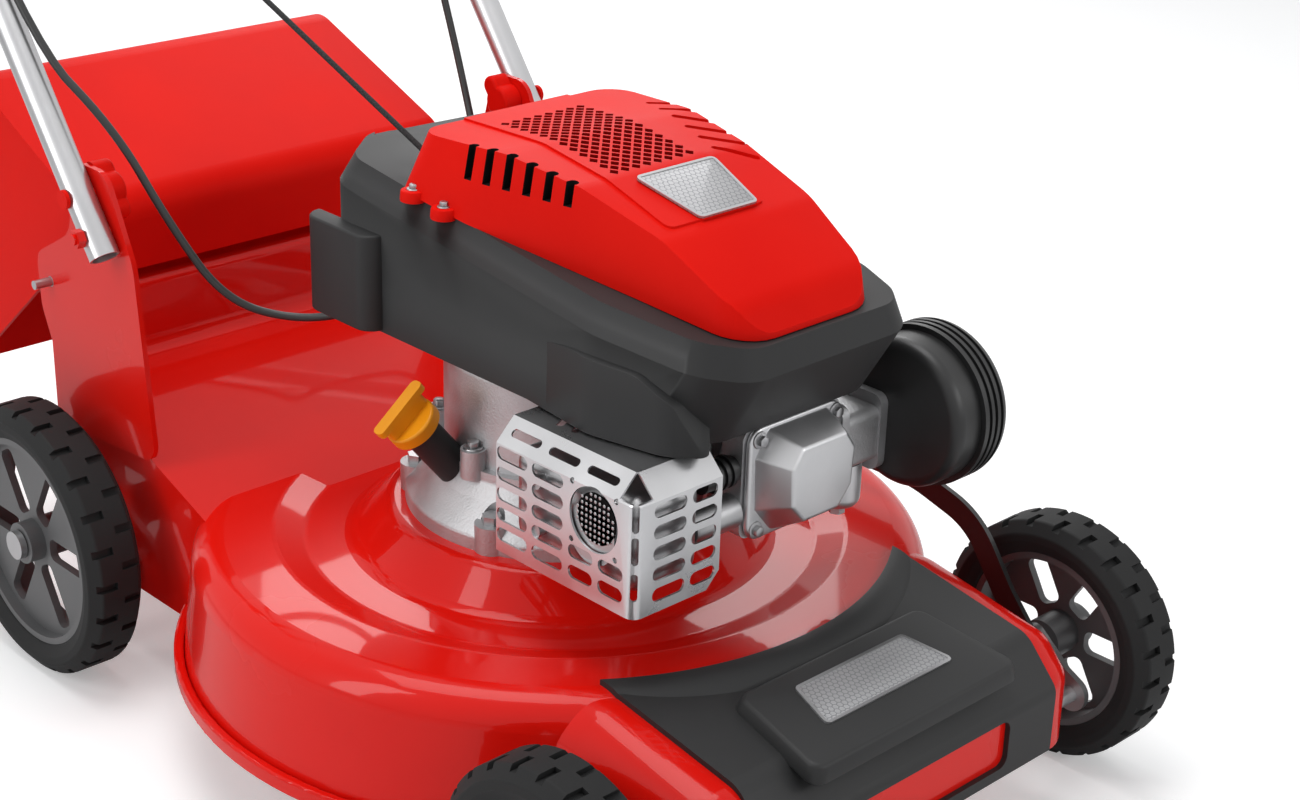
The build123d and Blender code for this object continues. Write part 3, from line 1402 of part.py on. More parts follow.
def flap_block(inset, low):
    """Hood volume: front lip, rising top and rear face, narrower towards the top."""
    with BuildPart() as made:
        with BuildSketch(side_plane(-FLAP_HALF_W)):
            outline(
                [
                    (flap_front_y + inset, FLAP_AXIS_Z - 4 + low),
                    (flap_front_y + inset, FLAP_FRONT_TOP_Z - inset),
                    (flap_top_y, flap_top_z - inset),
                    (FLAP_REAR_Y - inset, FLAP_LOW_Z + low),
                    (FLAP_REAR_Y - 24, FLAP_LOW_Z + low),
                    (FLAP_AXIS_Y + 30, FLAP_AXIS_Z - 4 + low),
                ],
                [0, 26 - inset, 30 - inset, 0, 0, 0],
            )
        extrude(amount=2 * FLAP_HALF_W)
        with BuildSketch(Plane.XZ.offset(-flap_front_y + 20)):
            outline(
                [
                    (-FLAP_HALF_W + inset, FLAP_LOW_Z - 40),
                    (FLAP_HALF_W - inset, FLAP_LOW_Z - 40),
                    (FLAP_TOP_HALF_W - inset, flap_top_z + 10),
                    (-FLAP_TOP_HALF_W + inset, flap_top_z + 10),
                ],
                0,
            )
        extrude(amount=-400, mode=Mode.INTERSECT)
    return made.part


with BuildPart() as rear_flap:
    add(flap_block(0, 0))
    add(flap_block(FLAP_T, -1), mode=Mode.SUBTRACT)
    # Ears round the hinge rod
    for side in (-1, 1):
        with BuildSketch(side_plane(side * (FLAP_HALF_W - 12))):
            with Locations(flap_axis):
                Circle(HINGE_ROD_R + 5)
        extrude(amount=-side * 20)
    with BuildSketch(side_plane(-FLAP_HALF_W)):
        with Locations(flap_axis):
            Circle(HINGE_ROD_R + RUN_FIT)
    extrude(amount=2 * FLAP_HALF_W, mode=Mode.SUBTRACT)
save(rear_flap, "rear_flap")

with BuildPart() as flap_hinge_rod:
    rod_end = TUNNEL_HALF_W + BRACKET_T
    with BuildSketch(side_plane(-rod_end)):
        with Locations(flap_axis):
            Circle(HINGE_ROD_R)
    extrude(amount=2 * rod_end)
    # Turned-down free ends for the hooks of a catcher
    with BuildSketch(side_plane(-rod_end - HINGE_ROD_END)):
        with Locations(flap_axis):
            Circle(HOOK_PIN_R)
    extrude(amount=2 * (rod_end + HINGE_ROD_END))
save(flap_hinge_rod, "flap_hinge_rod")

# Starter rope, its guide on the right handle tube and the T grip
guide_on_tube = along(HANDLE_FOOT, HANDLE_DIR, GUIDE_ALONG)
guide_point = (-GUIDE_X, guide_on_tube[1], guide_on_tube[2])
rope_run = Vector(*guide_point) - Vector(*ROPE_EXIT)
pull_dir = Vector(0, rope_run.Y, rope_run.Z).normalized()
groove_r = PULLEY_R - 8 + ROPE_D / 2 + FREE_GAP
exit_angle = math.atan2(ROPE_EXIT[1], ROPE_EXIT[0])
tangent_angle = exit_angle + math.acos(groove_r / math.hypot(ROPE_EXIT[0], ROPE_EXIT[1]))
rope_start = (
    groove_r * math.cos(tangent_angle),
    groove_r * math.sin(tangent_angle),
    BRIDGE_Z - FREE_GAP - PULLEY_T / 2,
)
rope_end = Vector(*guide_point) + pull_dir * GRIP_GAP

with BuildPart() as rope_guide:
    with Locations(Plane(origin=guide_point, z_dir=rope_run).location):
        Torus(GUIDE_R, GUIDE_WIRE_R)
    with BuildSketch(side_plane(-GUIDE_X - GUIDE_R)):
        with Locations(guide_point[1:]):
            Circle(GUIDE_WIRE_R)
    extrude(amount=GUIDE_X + GUIDE_R - HANDLE_X + TUBE_R - TUBE_WALL)
    with BuildSketch(shaft_plane((-HANDLE_X, *guide_point[1:]), HANDLE_DIR)):
        Circle(TUBE_R + FREE_GAP / 4)
    extrude(amount=2 * GUIDE_R, both=True, mode=Mode.SUBTRACT)
save(rope_guide, "rope_guide")

with BuildPart() as starter_rope:
    with BuildLine() as path:
        FilletPolyline(rope_start, ROPE_EXIT, guide_point, rope_end, radius=[ROPE_EXIT_R, ROPE_GUIDE_R])
    with BuildSketch(shaft_plane(path.line @ 0, path.line % 0)):
        Circle(ROPE_D / 2)
    sweep()
save(starter_rope, "starter_rope")

with BuildPart() as starter_grip:
    with BuildSketch(shaft_plane(rope_end, pull_dir)):
        Circle(GRIP_STEM_R)
    extrude(amount=GRIP_STEM_L, taper=-6)
    grip_mid = rope_end + pull_dir * (GRIP_STEM_L + GRIP_BAR_R * 0.6)
    bar_dir = Vector(0, -pull_dir.Z, pull_dir.Y)
    with BuildSketch(shaft_plane(grip_mid - bar_dir * GRIP_BAR_L / 2, bar_dir)):
        Circle(GRIP_BAR_R)
    extrude(amount=GRIP_BAR_L)
    fillet(starter_grip.edges().filter_by(GeomType.CIRCLE).sort_by(SortBy.RADIUS)[-2:], 3)
save(starter_grip, "starter_grip")


# Control cables, clipped along the handle tubes
def cable_radii(points):
    """Radius of each corner of a cable's route, as large as its two runs allow."""
    radii = []
    for before, here, after in zip(points, points[1:], points[2:]):
        first = Vector(*here) - Vector(*before)
        second = Vector(*after) - Vector(*here)
        turn = math.radians(first.get_angle(second))
        radii.append(0.45 * min(first.length, second.length) / math.tan(turn / 2))
    return radii


def on_tube(side, along_tube, lift):
    """Point beside a lower handle tube, on its upper face."""
    at = along(HANDLE_FOOT, HANDLE_DIR, along_tube)
    return (side * HANDLE_X, at[1] - lift * HANDLE_DIR[2], at[2] + lift * HANDLE_DIR[1])


def on_upper(side, along_tube, lift):
    """Point beside the upper handle, on its upper face, measured from its bend."""
    at = along(along(UPPER_BEND, UPPER_DIR, along_tube), upper_normal, lift)
    return (side * UPPER_X, at[1], at[2])


def cable(points):
    """Sheathed control cable along a route."""
    radii = cable_radii(points)
    print("cable radii", [round(radius) for radius in radii])
    with BuildPart() as made:
        with BuildLine() as path:
            FilletPolyline(*points, radius=radii)
        with BuildSketch(shaft_plane(path.line @ 0, path.line % 0)):
            Circle(CABLE_D / 2)
        sweep()
    return made


cable_lift = TUBE_R + CABLE_D / 2 + FREE_GAP
brake_route = [
    (-58, 112, 322),
    (-66, 142, 293),
    (-96, 184, 280),
    (-136, 216, 296),
    (-160, 246, 352),
    (-178, 282, 418),
    on_tube(-1, 165, cable_lift),
    on_tube(-1, FOLD_ALONG - 24, cable_lift),
    on_upper(-1, -30, cable_lift + 3),
    on_upper(-1, 24, cable_lift),
    on_upper(-1, BAIL_ALONG - 16, cable_lift),
    (-bail_x - BAIL_R - CABLE_D, *on_upper(-1, BAIL_ALONG + 14, cable_lift + 2)[1:]),
]
save(cable(brake_route), "brake_cable")

throttle_route = [
    (56, 112, 322),
    (66, 146, 293),
    (100, 196, 284),
    (142, 252, 298),
    (174, 306, 342),
    (184, 348, 424),
    (186, 384, 506),
    (HANDLE_X - 17, *on_tube(1, 268, 17)[1:]),
    on_tube(1, 330, cable_lift),
    on_tube(1, FOLD_ALONG - 24, cable_lift),
    on_upper(1, -34, cable_lift + 3),
    on_upper(1, 6, cable_lift + 2),
    on_upper(1, THROTTLE_ALONG - THROTTLE_L / 2 - RUN_FIT, cable_lift + 2),
]
save(cable(throttle_route), "throttle_cable")
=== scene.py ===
# %% [markdown]
# # A walk-behind lawn mower in its picture
# The solids of the mower come in as a fixed frame, already in place and in metres. This lesson gives each
# of them a finish, models the covers and small pieces that the solids keep plain, and sets up light and
# camera.

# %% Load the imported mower
import math

import bmesh
import bpy
from mathutils import Matrix, Vector


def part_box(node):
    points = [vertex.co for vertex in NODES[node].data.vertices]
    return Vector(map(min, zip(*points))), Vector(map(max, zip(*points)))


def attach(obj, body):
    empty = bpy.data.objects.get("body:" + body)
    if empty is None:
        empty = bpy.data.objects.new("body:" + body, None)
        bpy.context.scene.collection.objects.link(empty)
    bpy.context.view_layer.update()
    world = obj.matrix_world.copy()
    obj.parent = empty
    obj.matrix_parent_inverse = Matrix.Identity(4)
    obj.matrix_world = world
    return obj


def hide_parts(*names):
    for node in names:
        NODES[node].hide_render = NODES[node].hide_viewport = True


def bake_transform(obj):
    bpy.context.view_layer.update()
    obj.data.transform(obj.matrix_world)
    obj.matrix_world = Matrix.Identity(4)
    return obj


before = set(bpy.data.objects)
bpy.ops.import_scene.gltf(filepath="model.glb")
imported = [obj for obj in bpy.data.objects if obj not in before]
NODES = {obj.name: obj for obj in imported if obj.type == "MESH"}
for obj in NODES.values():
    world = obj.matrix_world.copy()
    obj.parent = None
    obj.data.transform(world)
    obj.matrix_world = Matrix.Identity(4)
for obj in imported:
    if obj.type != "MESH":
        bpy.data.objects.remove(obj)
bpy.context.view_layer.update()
scene = bpy.context.scene
sump_low, sump_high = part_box("engine_sump")
CRANK_Y = (sump_low[1] + sump_high[1]) / 2


# %% [markdown]
# ## Places in the mower's own sizes
# The mower was measured from the middle of its crank, in millimetres. One helper turns such a place into
# metres in the frame, and one matrix does the same for a whole mesh.

# %% Turn a workshop place into a place in the frame
MM_PER_M = 1000


def place(x, y, z):
    return Vector((x / MM_PER_M, y / MM_PER_M + CRANK_Y, z / MM_PER_M))


TO_FRAME = Matrix.Translation((0, CRANK_Y, 0)) @ Matrix.Scale(1 / MM_PER_M, 4)
print("crank foot", list(place(0, 0, 0)))

# %% [markdown]
# ## The camera
# The picture was taken from the front right, a little above the engine, with a long lens. The view is set
# from two angles, a small roll, a distance and the focal length in pixels of a 1300 pixel wide picture.

# %% Set up the camera
AZIMUTH, ELEVATION, ROLL = math.radians(-44.6), math.radians(23.4), math.radians(1.8)
AIM, DISTANCE = place(9, -79, 275), 1.547
SENSOR_WIDTH, PICTURE_WIDTH, FOCAL_PIXELS = 36, 1300, 2259.5
back = Vector(
    (
        math.sin(AZIMUTH) * math.cos(ELEVATION),
        -math.cos(AZIMUTH) * math.cos(ELEVATION),
        math.sin(ELEVATION),
    )
)
level = Vector((math.cos(AZIMUTH), math.sin(AZIMUTH), 0))
upright = back.cross(level)
right = math.cos(ROLL) * level + math.sin(ROLL) * upright
top = -math.sin(ROLL) * level + math.cos(ROLL) * upright
camera_data = bpy.data.cameras.new("camera")
camera_data.sensor_width = SENSOR_WIDTH
camera_data.lens = SENSOR_WIDTH * FOCAL_PIXELS / PICTURE_WIDTH
camera_data.clip_start = 0.05
camera_data.clip_end = 60
camera = bpy.data.objects.new("camera", camera_data)
camera_turn = Matrix((right, top, back)).transposed().to_4x4()
camera.matrix_world = Matrix.Translation(AIM + back * DISTANCE) @ camera_turn
scene.collection.objects.link(camera)
scene.camera = camera
print("lens", camera_data.lens)

# %% [markdown]
# ## Light and floor
# The picture has a plain white ground and soft light from above. Large lamps light the mower evenly, and
# narrow strips give the bright streaks on the paint. The world is white where the camera or a mirror sees
# it, and dimmer where it only fills the shadows.

# %% Set up the world
FILL_STRENGTH = 0.32
scene.view_settings.view_transform = "Standard"
world = bpy.data.worlds.new("studio")
scene.world = world
world.use_nodes = True
sky = world.node_tree
sky.nodes.clear()
sky_out = sky.nodes.new("ShaderNodeOutputWorld")
sky_fill = sky.nodes.new("ShaderNodeBackground")
sky_fill.inputs["Color"].default_value = (0.95, 0.97, 1, 1)
sky_fill.inputs["Strength"].default_value = FILL_STRENGTH
sky_seen = sky.nodes.new("ShaderNodeBackground")
sky_seen.inputs["Color"].default_value = (1, 1, 1, 1)
sky_rays = sky.nodes.new("ShaderNodeLightPath")
sky_mix = sky.nodes.new("ShaderNodeMixShader")
seen = sky_rays.outputs["Is Camera Ray"]
for ray in ("Is Glossy Ray", "Is Transmission Ray"):
    either = sky.nodes.new("ShaderNodeMath")
    either.operation = "MAXIMUM"
    sky.links.new(seen, either.inputs[0])
    sky.links.new(sky_rays.outputs[ray], either.inputs[1])
    seen = either.outputs[0]
sky.links.new(seen, sky_mix.inputs[0])
sky.links.new(sky_fill.outputs[0], sky_mix.inputs[1])
sky.links.new(sky_seen.outputs[0], sky_mix.inputs[2])
sky.links.new(sky_mix.outputs[0], sky_out.inputs[0])
print("world fill", FILL_STRENGTH)


# %% Set up the lamps
def softbox(name, spot, aim, size, power):
    data = bpy.data.lights.new(name, "AREA")
    data.shape = "RECTANGLE"
    data.size, data.size_y = size
    data.energy = power
    lamp = bpy.data.objects.new(name, data)
    turn = (aim - spot).to_track_quat("-Z", "Y").to_matrix().to_4x4()
    lamp.matrix_world = Matrix.Translation(spot) @ turn
    scene.collection.objects.link(lamp)


middle = place(0, 0, 300)
softbox("lamp_over", place(-200, 300, 2600), middle, (1.6, 1.6), 32)
softbox("lamp_right", place(-2300, 500, 1500), middle, (0.5, 2.2), 20)
softbox("lamp_front", place(700, -2600, 1500), middle, (2.2, 0.5), 17)
softbox("lamp_rear", place(1700, 1900, 1900), middle, (1.2, 1.2), 18)
print("lamps", [lamp.name for lamp in bpy.data.lights])

# %% [markdown]
# The floor is a wide sheet in a nearly even white. It keeps the mower's shadow, and a little glow that
# only the camera sees lifts it to the white of the picture.

# %% Lay the floor
FLOOR_HALF, FLOOR_GLOW = 14, 0.3
floor_mesh = bpy.data.meshes.new("floor")
floor_shape = bmesh.new()
bmesh.ops.create_grid(floor_shape, x_segments=1, y_segments=1, size=FLOOR_HALF)
floor_shape.to_mesh(floor_mesh)
floor_shape.free()
floor = bpy.data.objects.new("floor", floor_mesh)
scene.collection.objects.link(floor)

# %% Give the floor its finish
floor_finish = bpy.data.materials.new("floor_white")
floor_finish.use_nodes = True
floor_tree = floor_finish.node_tree
floor_shader = floor_tree.nodes["Principled BSDF"]
floor_noise = floor_tree.nodes.new("ShaderNodeTexNoise")
floor_noise.inputs["Scale"].default_value = 1.5
floor_ramp = floor_tree.nodes.new("ShaderNodeValToRGB")
floor_ramp.color_ramp.elements[0].color = (0.9, 0.9, 0.9, 1)
floor_ramp.color_ramp.elements[1].color = (0.93, 0.93, 0.93, 1)
floor_tree.links.new(floor_noise.outputs[0], floor_ramp.inputs[0])
floor_tree.links.new(floor_ramp.outputs[0], floor_shader.inputs["Base Color"])
floor_shader.inputs["Roughness"].default_value = 0.6
floor_shader.inputs["Emission Color"].default_value = (1, 1, 1, 1)
floor_rays = floor_tree.nodes.new("ShaderNodeLightPath")
floor_glow = floor_tree.nodes.new("ShaderNodeMath")
floor_glow.operation = "MULTIPLY"
floor_glow.inputs[1].default_value = FLOOR_GLOW
floor_tree.links.new(floor_rays.outputs["Is Camera Ray"], floor_glow.inputs[0])
floor_tree.links.new(floor_glow.outputs[0], floor_shader.inputs["Emission Strength"])
floor_mesh.materials.append(floor_finish)
print("floor laid")


# %% [markdown]
# ## Effects that several finishes share
# Paint, plastic and metal all vary a little over a surface. Node groups carry that: one mixes two colours
# and two roughness values by a cloudy noise, one turns a fine noise into a bumped normal, and one draws
# the lines between hexagons.

# %% Start a node group
def new_group(name, inputs, outputs):
    group = bpy.data.node_groups.new(name, "ShaderNodeTree")
    for socket, kind, value in inputs:
        made = group.interface.new_socket(socket, in_out="INPUT", socket_type=kind)
        if value is not None:
            made.default_value = value
    for socket, kind in outputs:
        group.interface.new_socket(socket, in_out="OUTPUT", socket_type=kind)
    return group, group.nodes.new("NodeGroupInput"), group.nodes.new("NodeGroupOutput")


# %% Cloudy colour and roughness
CLOUDY, cloudy_in, cloudy_out = new_group(
    "cloudy_finish",
    [
        ("Vector", "NodeSocketVector", None),
        ("Scale", "NodeSocketFloat", 6.0),
        ("Colour A", "NodeSocketColor", (0.5, 0.5, 0.5, 1)),
        ("Colour B", "NodeSocketColor", (0.6, 0.6, 0.6, 1)),
        ("Rough A", "NodeSocketFloat", 0.3),
        ("Rough B", "NodeSocketFloat", 0.4),
    ],
    [("Colour", "NodeSocketColor"), ("Roughness", "NodeSocketFloat")],
)
cloud = CLOUDY.nodes.new("ShaderNodeTexNoise")
cloud.inputs["Detail"].default_value = 5
cloud_edge = CLOUDY.nodes.new("ShaderNodeMapRange")
cloud_edge.inputs["From Min"].default_value = 0.3
cloud_edge.inputs["From Max"].default_value = 0.7
cloud_colour = CLOUDY.nodes.new("ShaderNodeMix")
cloud_colour.data_type = "RGBA"
cloud_rough = CLOUDY.nodes.new("ShaderNodeMix")
CLOUDY.links.new(cloudy_in.outputs["Vector"], cloud.inputs["Vector"])
CLOUDY.links.new(cloudy_in.outputs["Scale"], cloud.inputs["Scale"])
CLOUDY.links.new(cloud.outputs[0], cloud_edge.inputs["Value"])
CLOUDY.links.new(cloud_edge.outputs[0], cloud_colour.inputs["Factor"])
CLOUDY.links.new(cloudy_in.outputs["Colour A"], cloud_colour.inputs["A"])
CLOUDY.links.new(cloudy_in.outputs["Colour B"], cloud_colour.inputs["B"])
CLOUDY.links.new(cloud_edge.outputs[0], cloud_rough.inputs["Factor"])
CLOUDY.links.new(cloudy_in.outputs["Rough A"], cloud_rough.inputs["A"])
CLOUDY.links.new(cloudy_in.outputs["Rough B"], cloud_rough.inputs["B"])
CLOUDY.links.new(cloud_colour.outputs["Result"], cloudy_out.inputs["Colour"])
CLOUDY.links.new(cloud_rough.outputs["Result"], cloudy_out.inputs["Roughness"])
print("group", CLOUDY.name)

# %% Fine grain
GRAIN, grain_in, grain_out = new_group(
    "fine_grain",
    [
        ("Vector", "NodeSocketVector", None),
        ("Scale", "NodeSocketFloat", 900.0),
        ("Strength", "NodeSocketFloat", 0.2),
        ("Depth", "NodeSocketFloat", 0.0002),
    ],
    [("Normal", "NodeSocketVector")],
)
grain = GRAIN.nodes.new("ShaderNodeTexNoise")
grain.inputs["Detail"].default_value = 3
grain_bump = GRAIN.nodes.new("ShaderNodeBump")
GRAIN.links.new(grain_in.outputs["Vector"], grain.inputs["Vector"])
GRAIN.links.new(grain_in.outputs["Scale"], grain.inputs["Scale"])
GRAIN.links.new(grain.outputs[0], grain_bump.inputs["Height"])
GRAIN.links.new(grain_in.outputs["Strength"], grain_bump.inputs["Strength"])
GRAIN.links.new(grain_in.outputs["Depth"], grain_bump.inputs["Distance"])
GRAIN.links.new(grain_bump.outputs[0], grain_out.inputs["Normal"])
print("group", GRAIN.name)

# %% [markdown]
# Hexagons lie on two rectangular grids, one shifted by half a cell. In each grid the distance to the
# middle of a cell is measured along a straight and a slanted side, and the nearer of the two grids
# decides. Where that distance comes close to half a cell there is a line.

# %% Lines between hexagons
HEX_CELLS, hex_in, hex_out = new_group(
    "hex_cells",
    [
        ("Vector", "NodeSocketVector", None),
        ("Width", "NodeSocketFloat", 0.005),
        ("Line", "NodeSocketFloat", 0.1),
    ],
    [("Line", "NodeSocketFloat")],
)


def vector_step(operation, *values):
    step = HEX_CELLS.nodes.new("ShaderNodeVectorMath")
    step.operation = operation
    for number, value in enumerate(values):
        if isinstance(value, tuple):
            step.inputs[number].default_value = value
        else:
            HEX_CELLS.links.new(value, step.inputs[number])
    return step


HALF_CELL, MINUS_HALF_CELL = (0.5, 0.866, 0.5), (-0.5, -0.866, -0.5)
STRAIGHT, SLANT, FLAT = (1.0, 0.0, 0.0), (0.5, 0.866, 0.0), (1.0, 1.0, 0.0)
hex_size = HEX_CELLS.nodes.new("ShaderNodeMath")
hex_size.operation = "DIVIDE"
hex_size.inputs[0].default_value = 1
HEX_CELLS.links.new(hex_in.outputs["Width"], hex_size.inputs[1])
scaled = vector_step("SCALE", hex_in.outputs["Vector"])
HEX_CELLS.links.new(hex_size.outputs[0], scaled.inputs["Scale"])
shifted = vector_step("ADD", scaled.outputs[0], HALF_CELL)
nearest = HEX_CELLS.nodes.new("ShaderNodeMath")
nearest.operation = "MINIMUM"
for number, grid in enumerate((scaled, shifted)):
    cell = vector_step("WRAP", grid.outputs[0], HALF_CELL, MINUS_HALF_CELL)
    inside = vector_step("ABSOLUTE", vector_step("MULTIPLY", cell.outputs[0], FLAT).outputs[0])
    slanted = vector_step("DOT_PRODUCT", inside.outputs[0], SLANT)
    straight = vector_step("DOT_PRODUCT", inside.outputs[0], STRAIGHT)
    reach = HEX_CELLS.nodes.new("ShaderNodeMath")
    reach.operation = "MAXIMUM"
    HEX_CELLS.links.new(slanted.outputs["Value"], reach.inputs[0])
    HEX_CELLS.links.new(straight.outputs["Value"], reach.inputs[1])
    HEX_CELLS.links.new(reach.outputs[0], nearest.inputs[number])
hex_start = HEX_CELLS.nodes.new("ShaderNodeMath")
hex_start.operation = "SUBTRACT"
hex_start.inputs[0].default_value = 0.5
HEX_CELLS.links.new(hex_in.outputs["Line"], hex_start.inputs[1])
hex_line = HEX_CELLS.nodes.new("ShaderNodeMapRange")
HEX_CELLS.links.new(nearest.outputs[0], hex_line.inputs["Value"])
HEX_CELLS.links.new(hex_start.outputs[0], hex_line.inputs["From Min"])
hex_line.inputs["From Max"].default_value = 0.5
HEX_CELLS.links.new(hex_line.outputs[0], hex_out.inputs["Line"])
print("group", HEX_CELLS.name)


# %% [markdown]
# ## Finishes
# Each finish is a Principled shader with the groups in front of it. The red of the deck is a wet-looking
# enamel with a clear coat and a slight orange peel. The moulded red plastic has no coat and a softer
# shine.

# %% A finish from the shared groups
def group_node(tree, group, **values):
    node = tree.nodes.new("ShaderNodeGroup")
    node.node_tree = group
    for socket, value in values.items():
        node.inputs[socket.replace("_", " ")].default_value = value
    return node


def finish(name, colours, rough, clouds=7, grain=(900, 0.2, 0.0002), stretch=(1, 1, 1), **plain):
    made = bpy.data.materials.new(name)
    made.use_nodes = True
    tree = made.node_tree
    shader = tree.nodes["Principled BSDF"]
    where = tree.nodes.new("ShaderNodeTexCoord")
    turned = tree.nodes.new("ShaderNodeMapping")
    turned.inputs["Scale"].default_value = stretch
    cloudy = group_node(
        tree,
        CLOUDY,
        Scale=clouds,
        Colour_A=(*colours[0], 1),
        Colour_B=(*colours[1], 1),
        Rough_A=rough[0],
        Rough_B=rough[1],
    )
    grainy = group_node(tree, GRAIN, Scale=grain[0], Strength=grain[1], Depth=grain[2])
    tree.links.new(where.outputs["Object"], turned.inputs["Vector"])
    tree.links.new(where.outputs["Object"], cloudy.inputs["Vector"])
    tree.links.new(turned.outputs[0], grainy.inputs["Vector"])
    tree.links.new(cloudy.outputs["Colour"], shader.inputs["Base Color"])
    tree.links.new(cloudy.outputs["Roughness"], shader.inputs["Roughness"])
    tree.links.new(grainy.outputs["Normal"], shader.inputs["Normal"])
    for socket, value in plain.items():
        shader.inputs[socket.replace("_", " ")].default_value = value
    return made


def greys(dark, light):
    return [(dark, dark, dark * 1.02), (light, light, light * 1.02)]


# %% Paints and plastics
RED_ENAMEL = finish(
    "red_enamel",
    [(0.72, 0.006, 0.003), (0.78, 0.009, 0.004)],
    (0.22, 0.28),
    5,
    (260, 0.05, 0.0002),
    Coat_Weight=0.45,
    Coat_Roughness=0.04,
    Coat_IOR=1.42,
    Specular_IOR_Level=0.06,
)
RED_MOULDING = finish(
    "red_moulding",
    [(0.72, 0.007, 0.004), (0.78, 0.01, 0.005)],
    (0.38, 0.46),
    9,
    (2600, 0.12, 0.0001),
    Specular_IOR_Level=0.04,
)
# Darker red for the grille pockets: painted shade in their hollows.
RED_PAINTED_SHADE = finish(
    "red_painted_shade", [(0.3, 0.004, 0.003), (0.34, 0.005, 0.004)], (0.6, 0.7), 9, Specular_IOR_Level=0.05
)
YELLOW_MOULDING = finish(
    "yellow_moulding",
    [(0.8, 0.28, 0.004), (0.84, 0.33, 0.008)],
    (0.36, 0.44),
    30,
    (2400, 0.15, 0.0001),
    Specular_IOR_Level=0.3,
)
DARK_MOULDING = finish(
    "dark_moulding", greys(0.019, 0.027), (0.5, 0.6), 9, (3200, 0.35, 0.0001), Specular_IOR_Level=0.3
)
TRIM_MOULDING = finish(
    "trim_moulding", greys(0.017, 0.024), (0.46, 0.56), 9, (3200, 0.3, 0.0001), Specular_IOR_Level=0.32
)
BLACK_MOULDING = finish("black_moulding", greys(0.01, 0.016), (0.34, 0.46), 9, (2600, 0.2, 0.0001))
RIM_MOULDING = finish("rim_moulding", greys(0.09, 0.115), (0.42, 0.5), 9, (2400, 0.2, 0.0001))
TYRE_RUBBER = finish(
    "tyre_rubber", greys(0.01, 0.017), (0.62, 0.75), 20, (1400, 0.35, 0.0003), Specular_IOR_Level=0.25
)
FOAM = finish(
    "foam_sleeve", greys(0.011, 0.017), (0.8, 0.9), 30, (1800, 0.6, 0.0005), Specular_IOR_Level=0.2
)
SHEATH = finish("cable_sheath", greys(0.01, 0.016), (0.4, 0.5), 20, (1800, 0.2, 0.0001))
ROPE_BRAID = finish(
    "rope_braid", greys(0.01, 0.055), (0.7, 0.85), 900, (700, 0.8, 0.0006), Specular_IOR_Level=0.2
)
# Near-black for the slot floors and the disc behind the outlet: painted shade where the inside lies in
# shadow.
PAINTED_SHADE_BLACK = finish("painted_shade_black", greys(0.004, 0.008), (0.8, 0.9), 40, Specular_IOR_Level=0.1)
print("paints and plastics made")

# %% Metals
CAST_METAL = finish(
    "cast_metal", greys(0.4, 0.52), (0.42, 0.58), 30, (620, 0.6, 0.0005), Metallic=0.85
)
BRIGHT_SHEET = finish(
    "bright_sheet", greys(0.56, 0.66), (0.26, 0.36), 14, (160, 0.14, 0.0002), (1, 1, 12), Metallic=1.0
)
PLAIN_STEEL = finish(
    "plain_steel", greys(0.36, 0.46), (0.32, 0.42), 20, (500, 0.2, 0.0002), (1, 6, 1), Metallic=1.0
)
PRESSED_COVER = finish(
    "pressed_cover", greys(0.56, 0.64), (0.34, 0.42), 20, (1500, 0.2, 0.0001), Metallic=0.9
)
TUBE_METAL = finish("tube_metal", greys(0.5, 0.56), (0.28, 0.34), 12, (1200, 0.1, 0.0001), Metallic=0.9)
BLACK_STEEL = finish("black_steel", greys(0.01, 0.017), (0.3, 0.4), 9, (900, 0.15, 0.0002), Coat_Weight=0.2)
PLATE_RIM = finish("plate_rim", greys(0.42, 0.5), (0.26, 0.32), 12, (1500, 0.1, 0.0001), Metallic=0.9)
print("metals made")

# %% A plate with a hex pattern
PLATE_SILVER = finish(
    "plate_silver", greys(0.34, 0.4), (0.42, 0.5), 12, (1500, 0.1, 0.0001), Metallic=0.6
)
plate_tree = PLATE_SILVER.node_tree
plate_shader = plate_tree.nodes["Principled BSDF"]
plate_where = plate_tree.nodes.new("ShaderNodeTexCoord")
plate_hex = group_node(plate_tree, HEX_CELLS, Width=0.0042, Line=0.14)
plate_tree.links.new(plate_where.outputs["Object"], plate_hex.inputs["Vector"])
plate_mix = plate_tree.nodes.new("ShaderNodeMix")
plate_mix.data_type = "RGBA"
plate_mix.inputs["B"].default_value = (0.2, 0.2, 0.21, 1)
plate_colour = plate_shader.inputs["Base Color"].links[0].from_socket
plate_tree.links.new(plate_colour, plate_mix.inputs["A"])
plate_tree.links.new(plate_hex.outputs["Line"], plate_mix.inputs["Factor"])
plate_tree.links.new(plate_mix.outputs["Result"], plate_shader.inputs["Base Color"])
plate_bump = plate_tree.nodes.new("ShaderNodeBump")
plate_bump.inputs["Strength"].default_value = 0.35
plate_bump.inputs["Distance"].default_value = 0.0003
plate_tree.links.new(plate_hex.outputs["Line"], plate_bump.inputs["Height"])
plate_tree.links.new(plate_bump.outputs[0], plate_shader.inputs["Normal"])
print("plate finish made")

# %% [markdown]
# ## Finishes on the solids
# The solids keep their shapes. A table gives each of them the finish of the real piece.

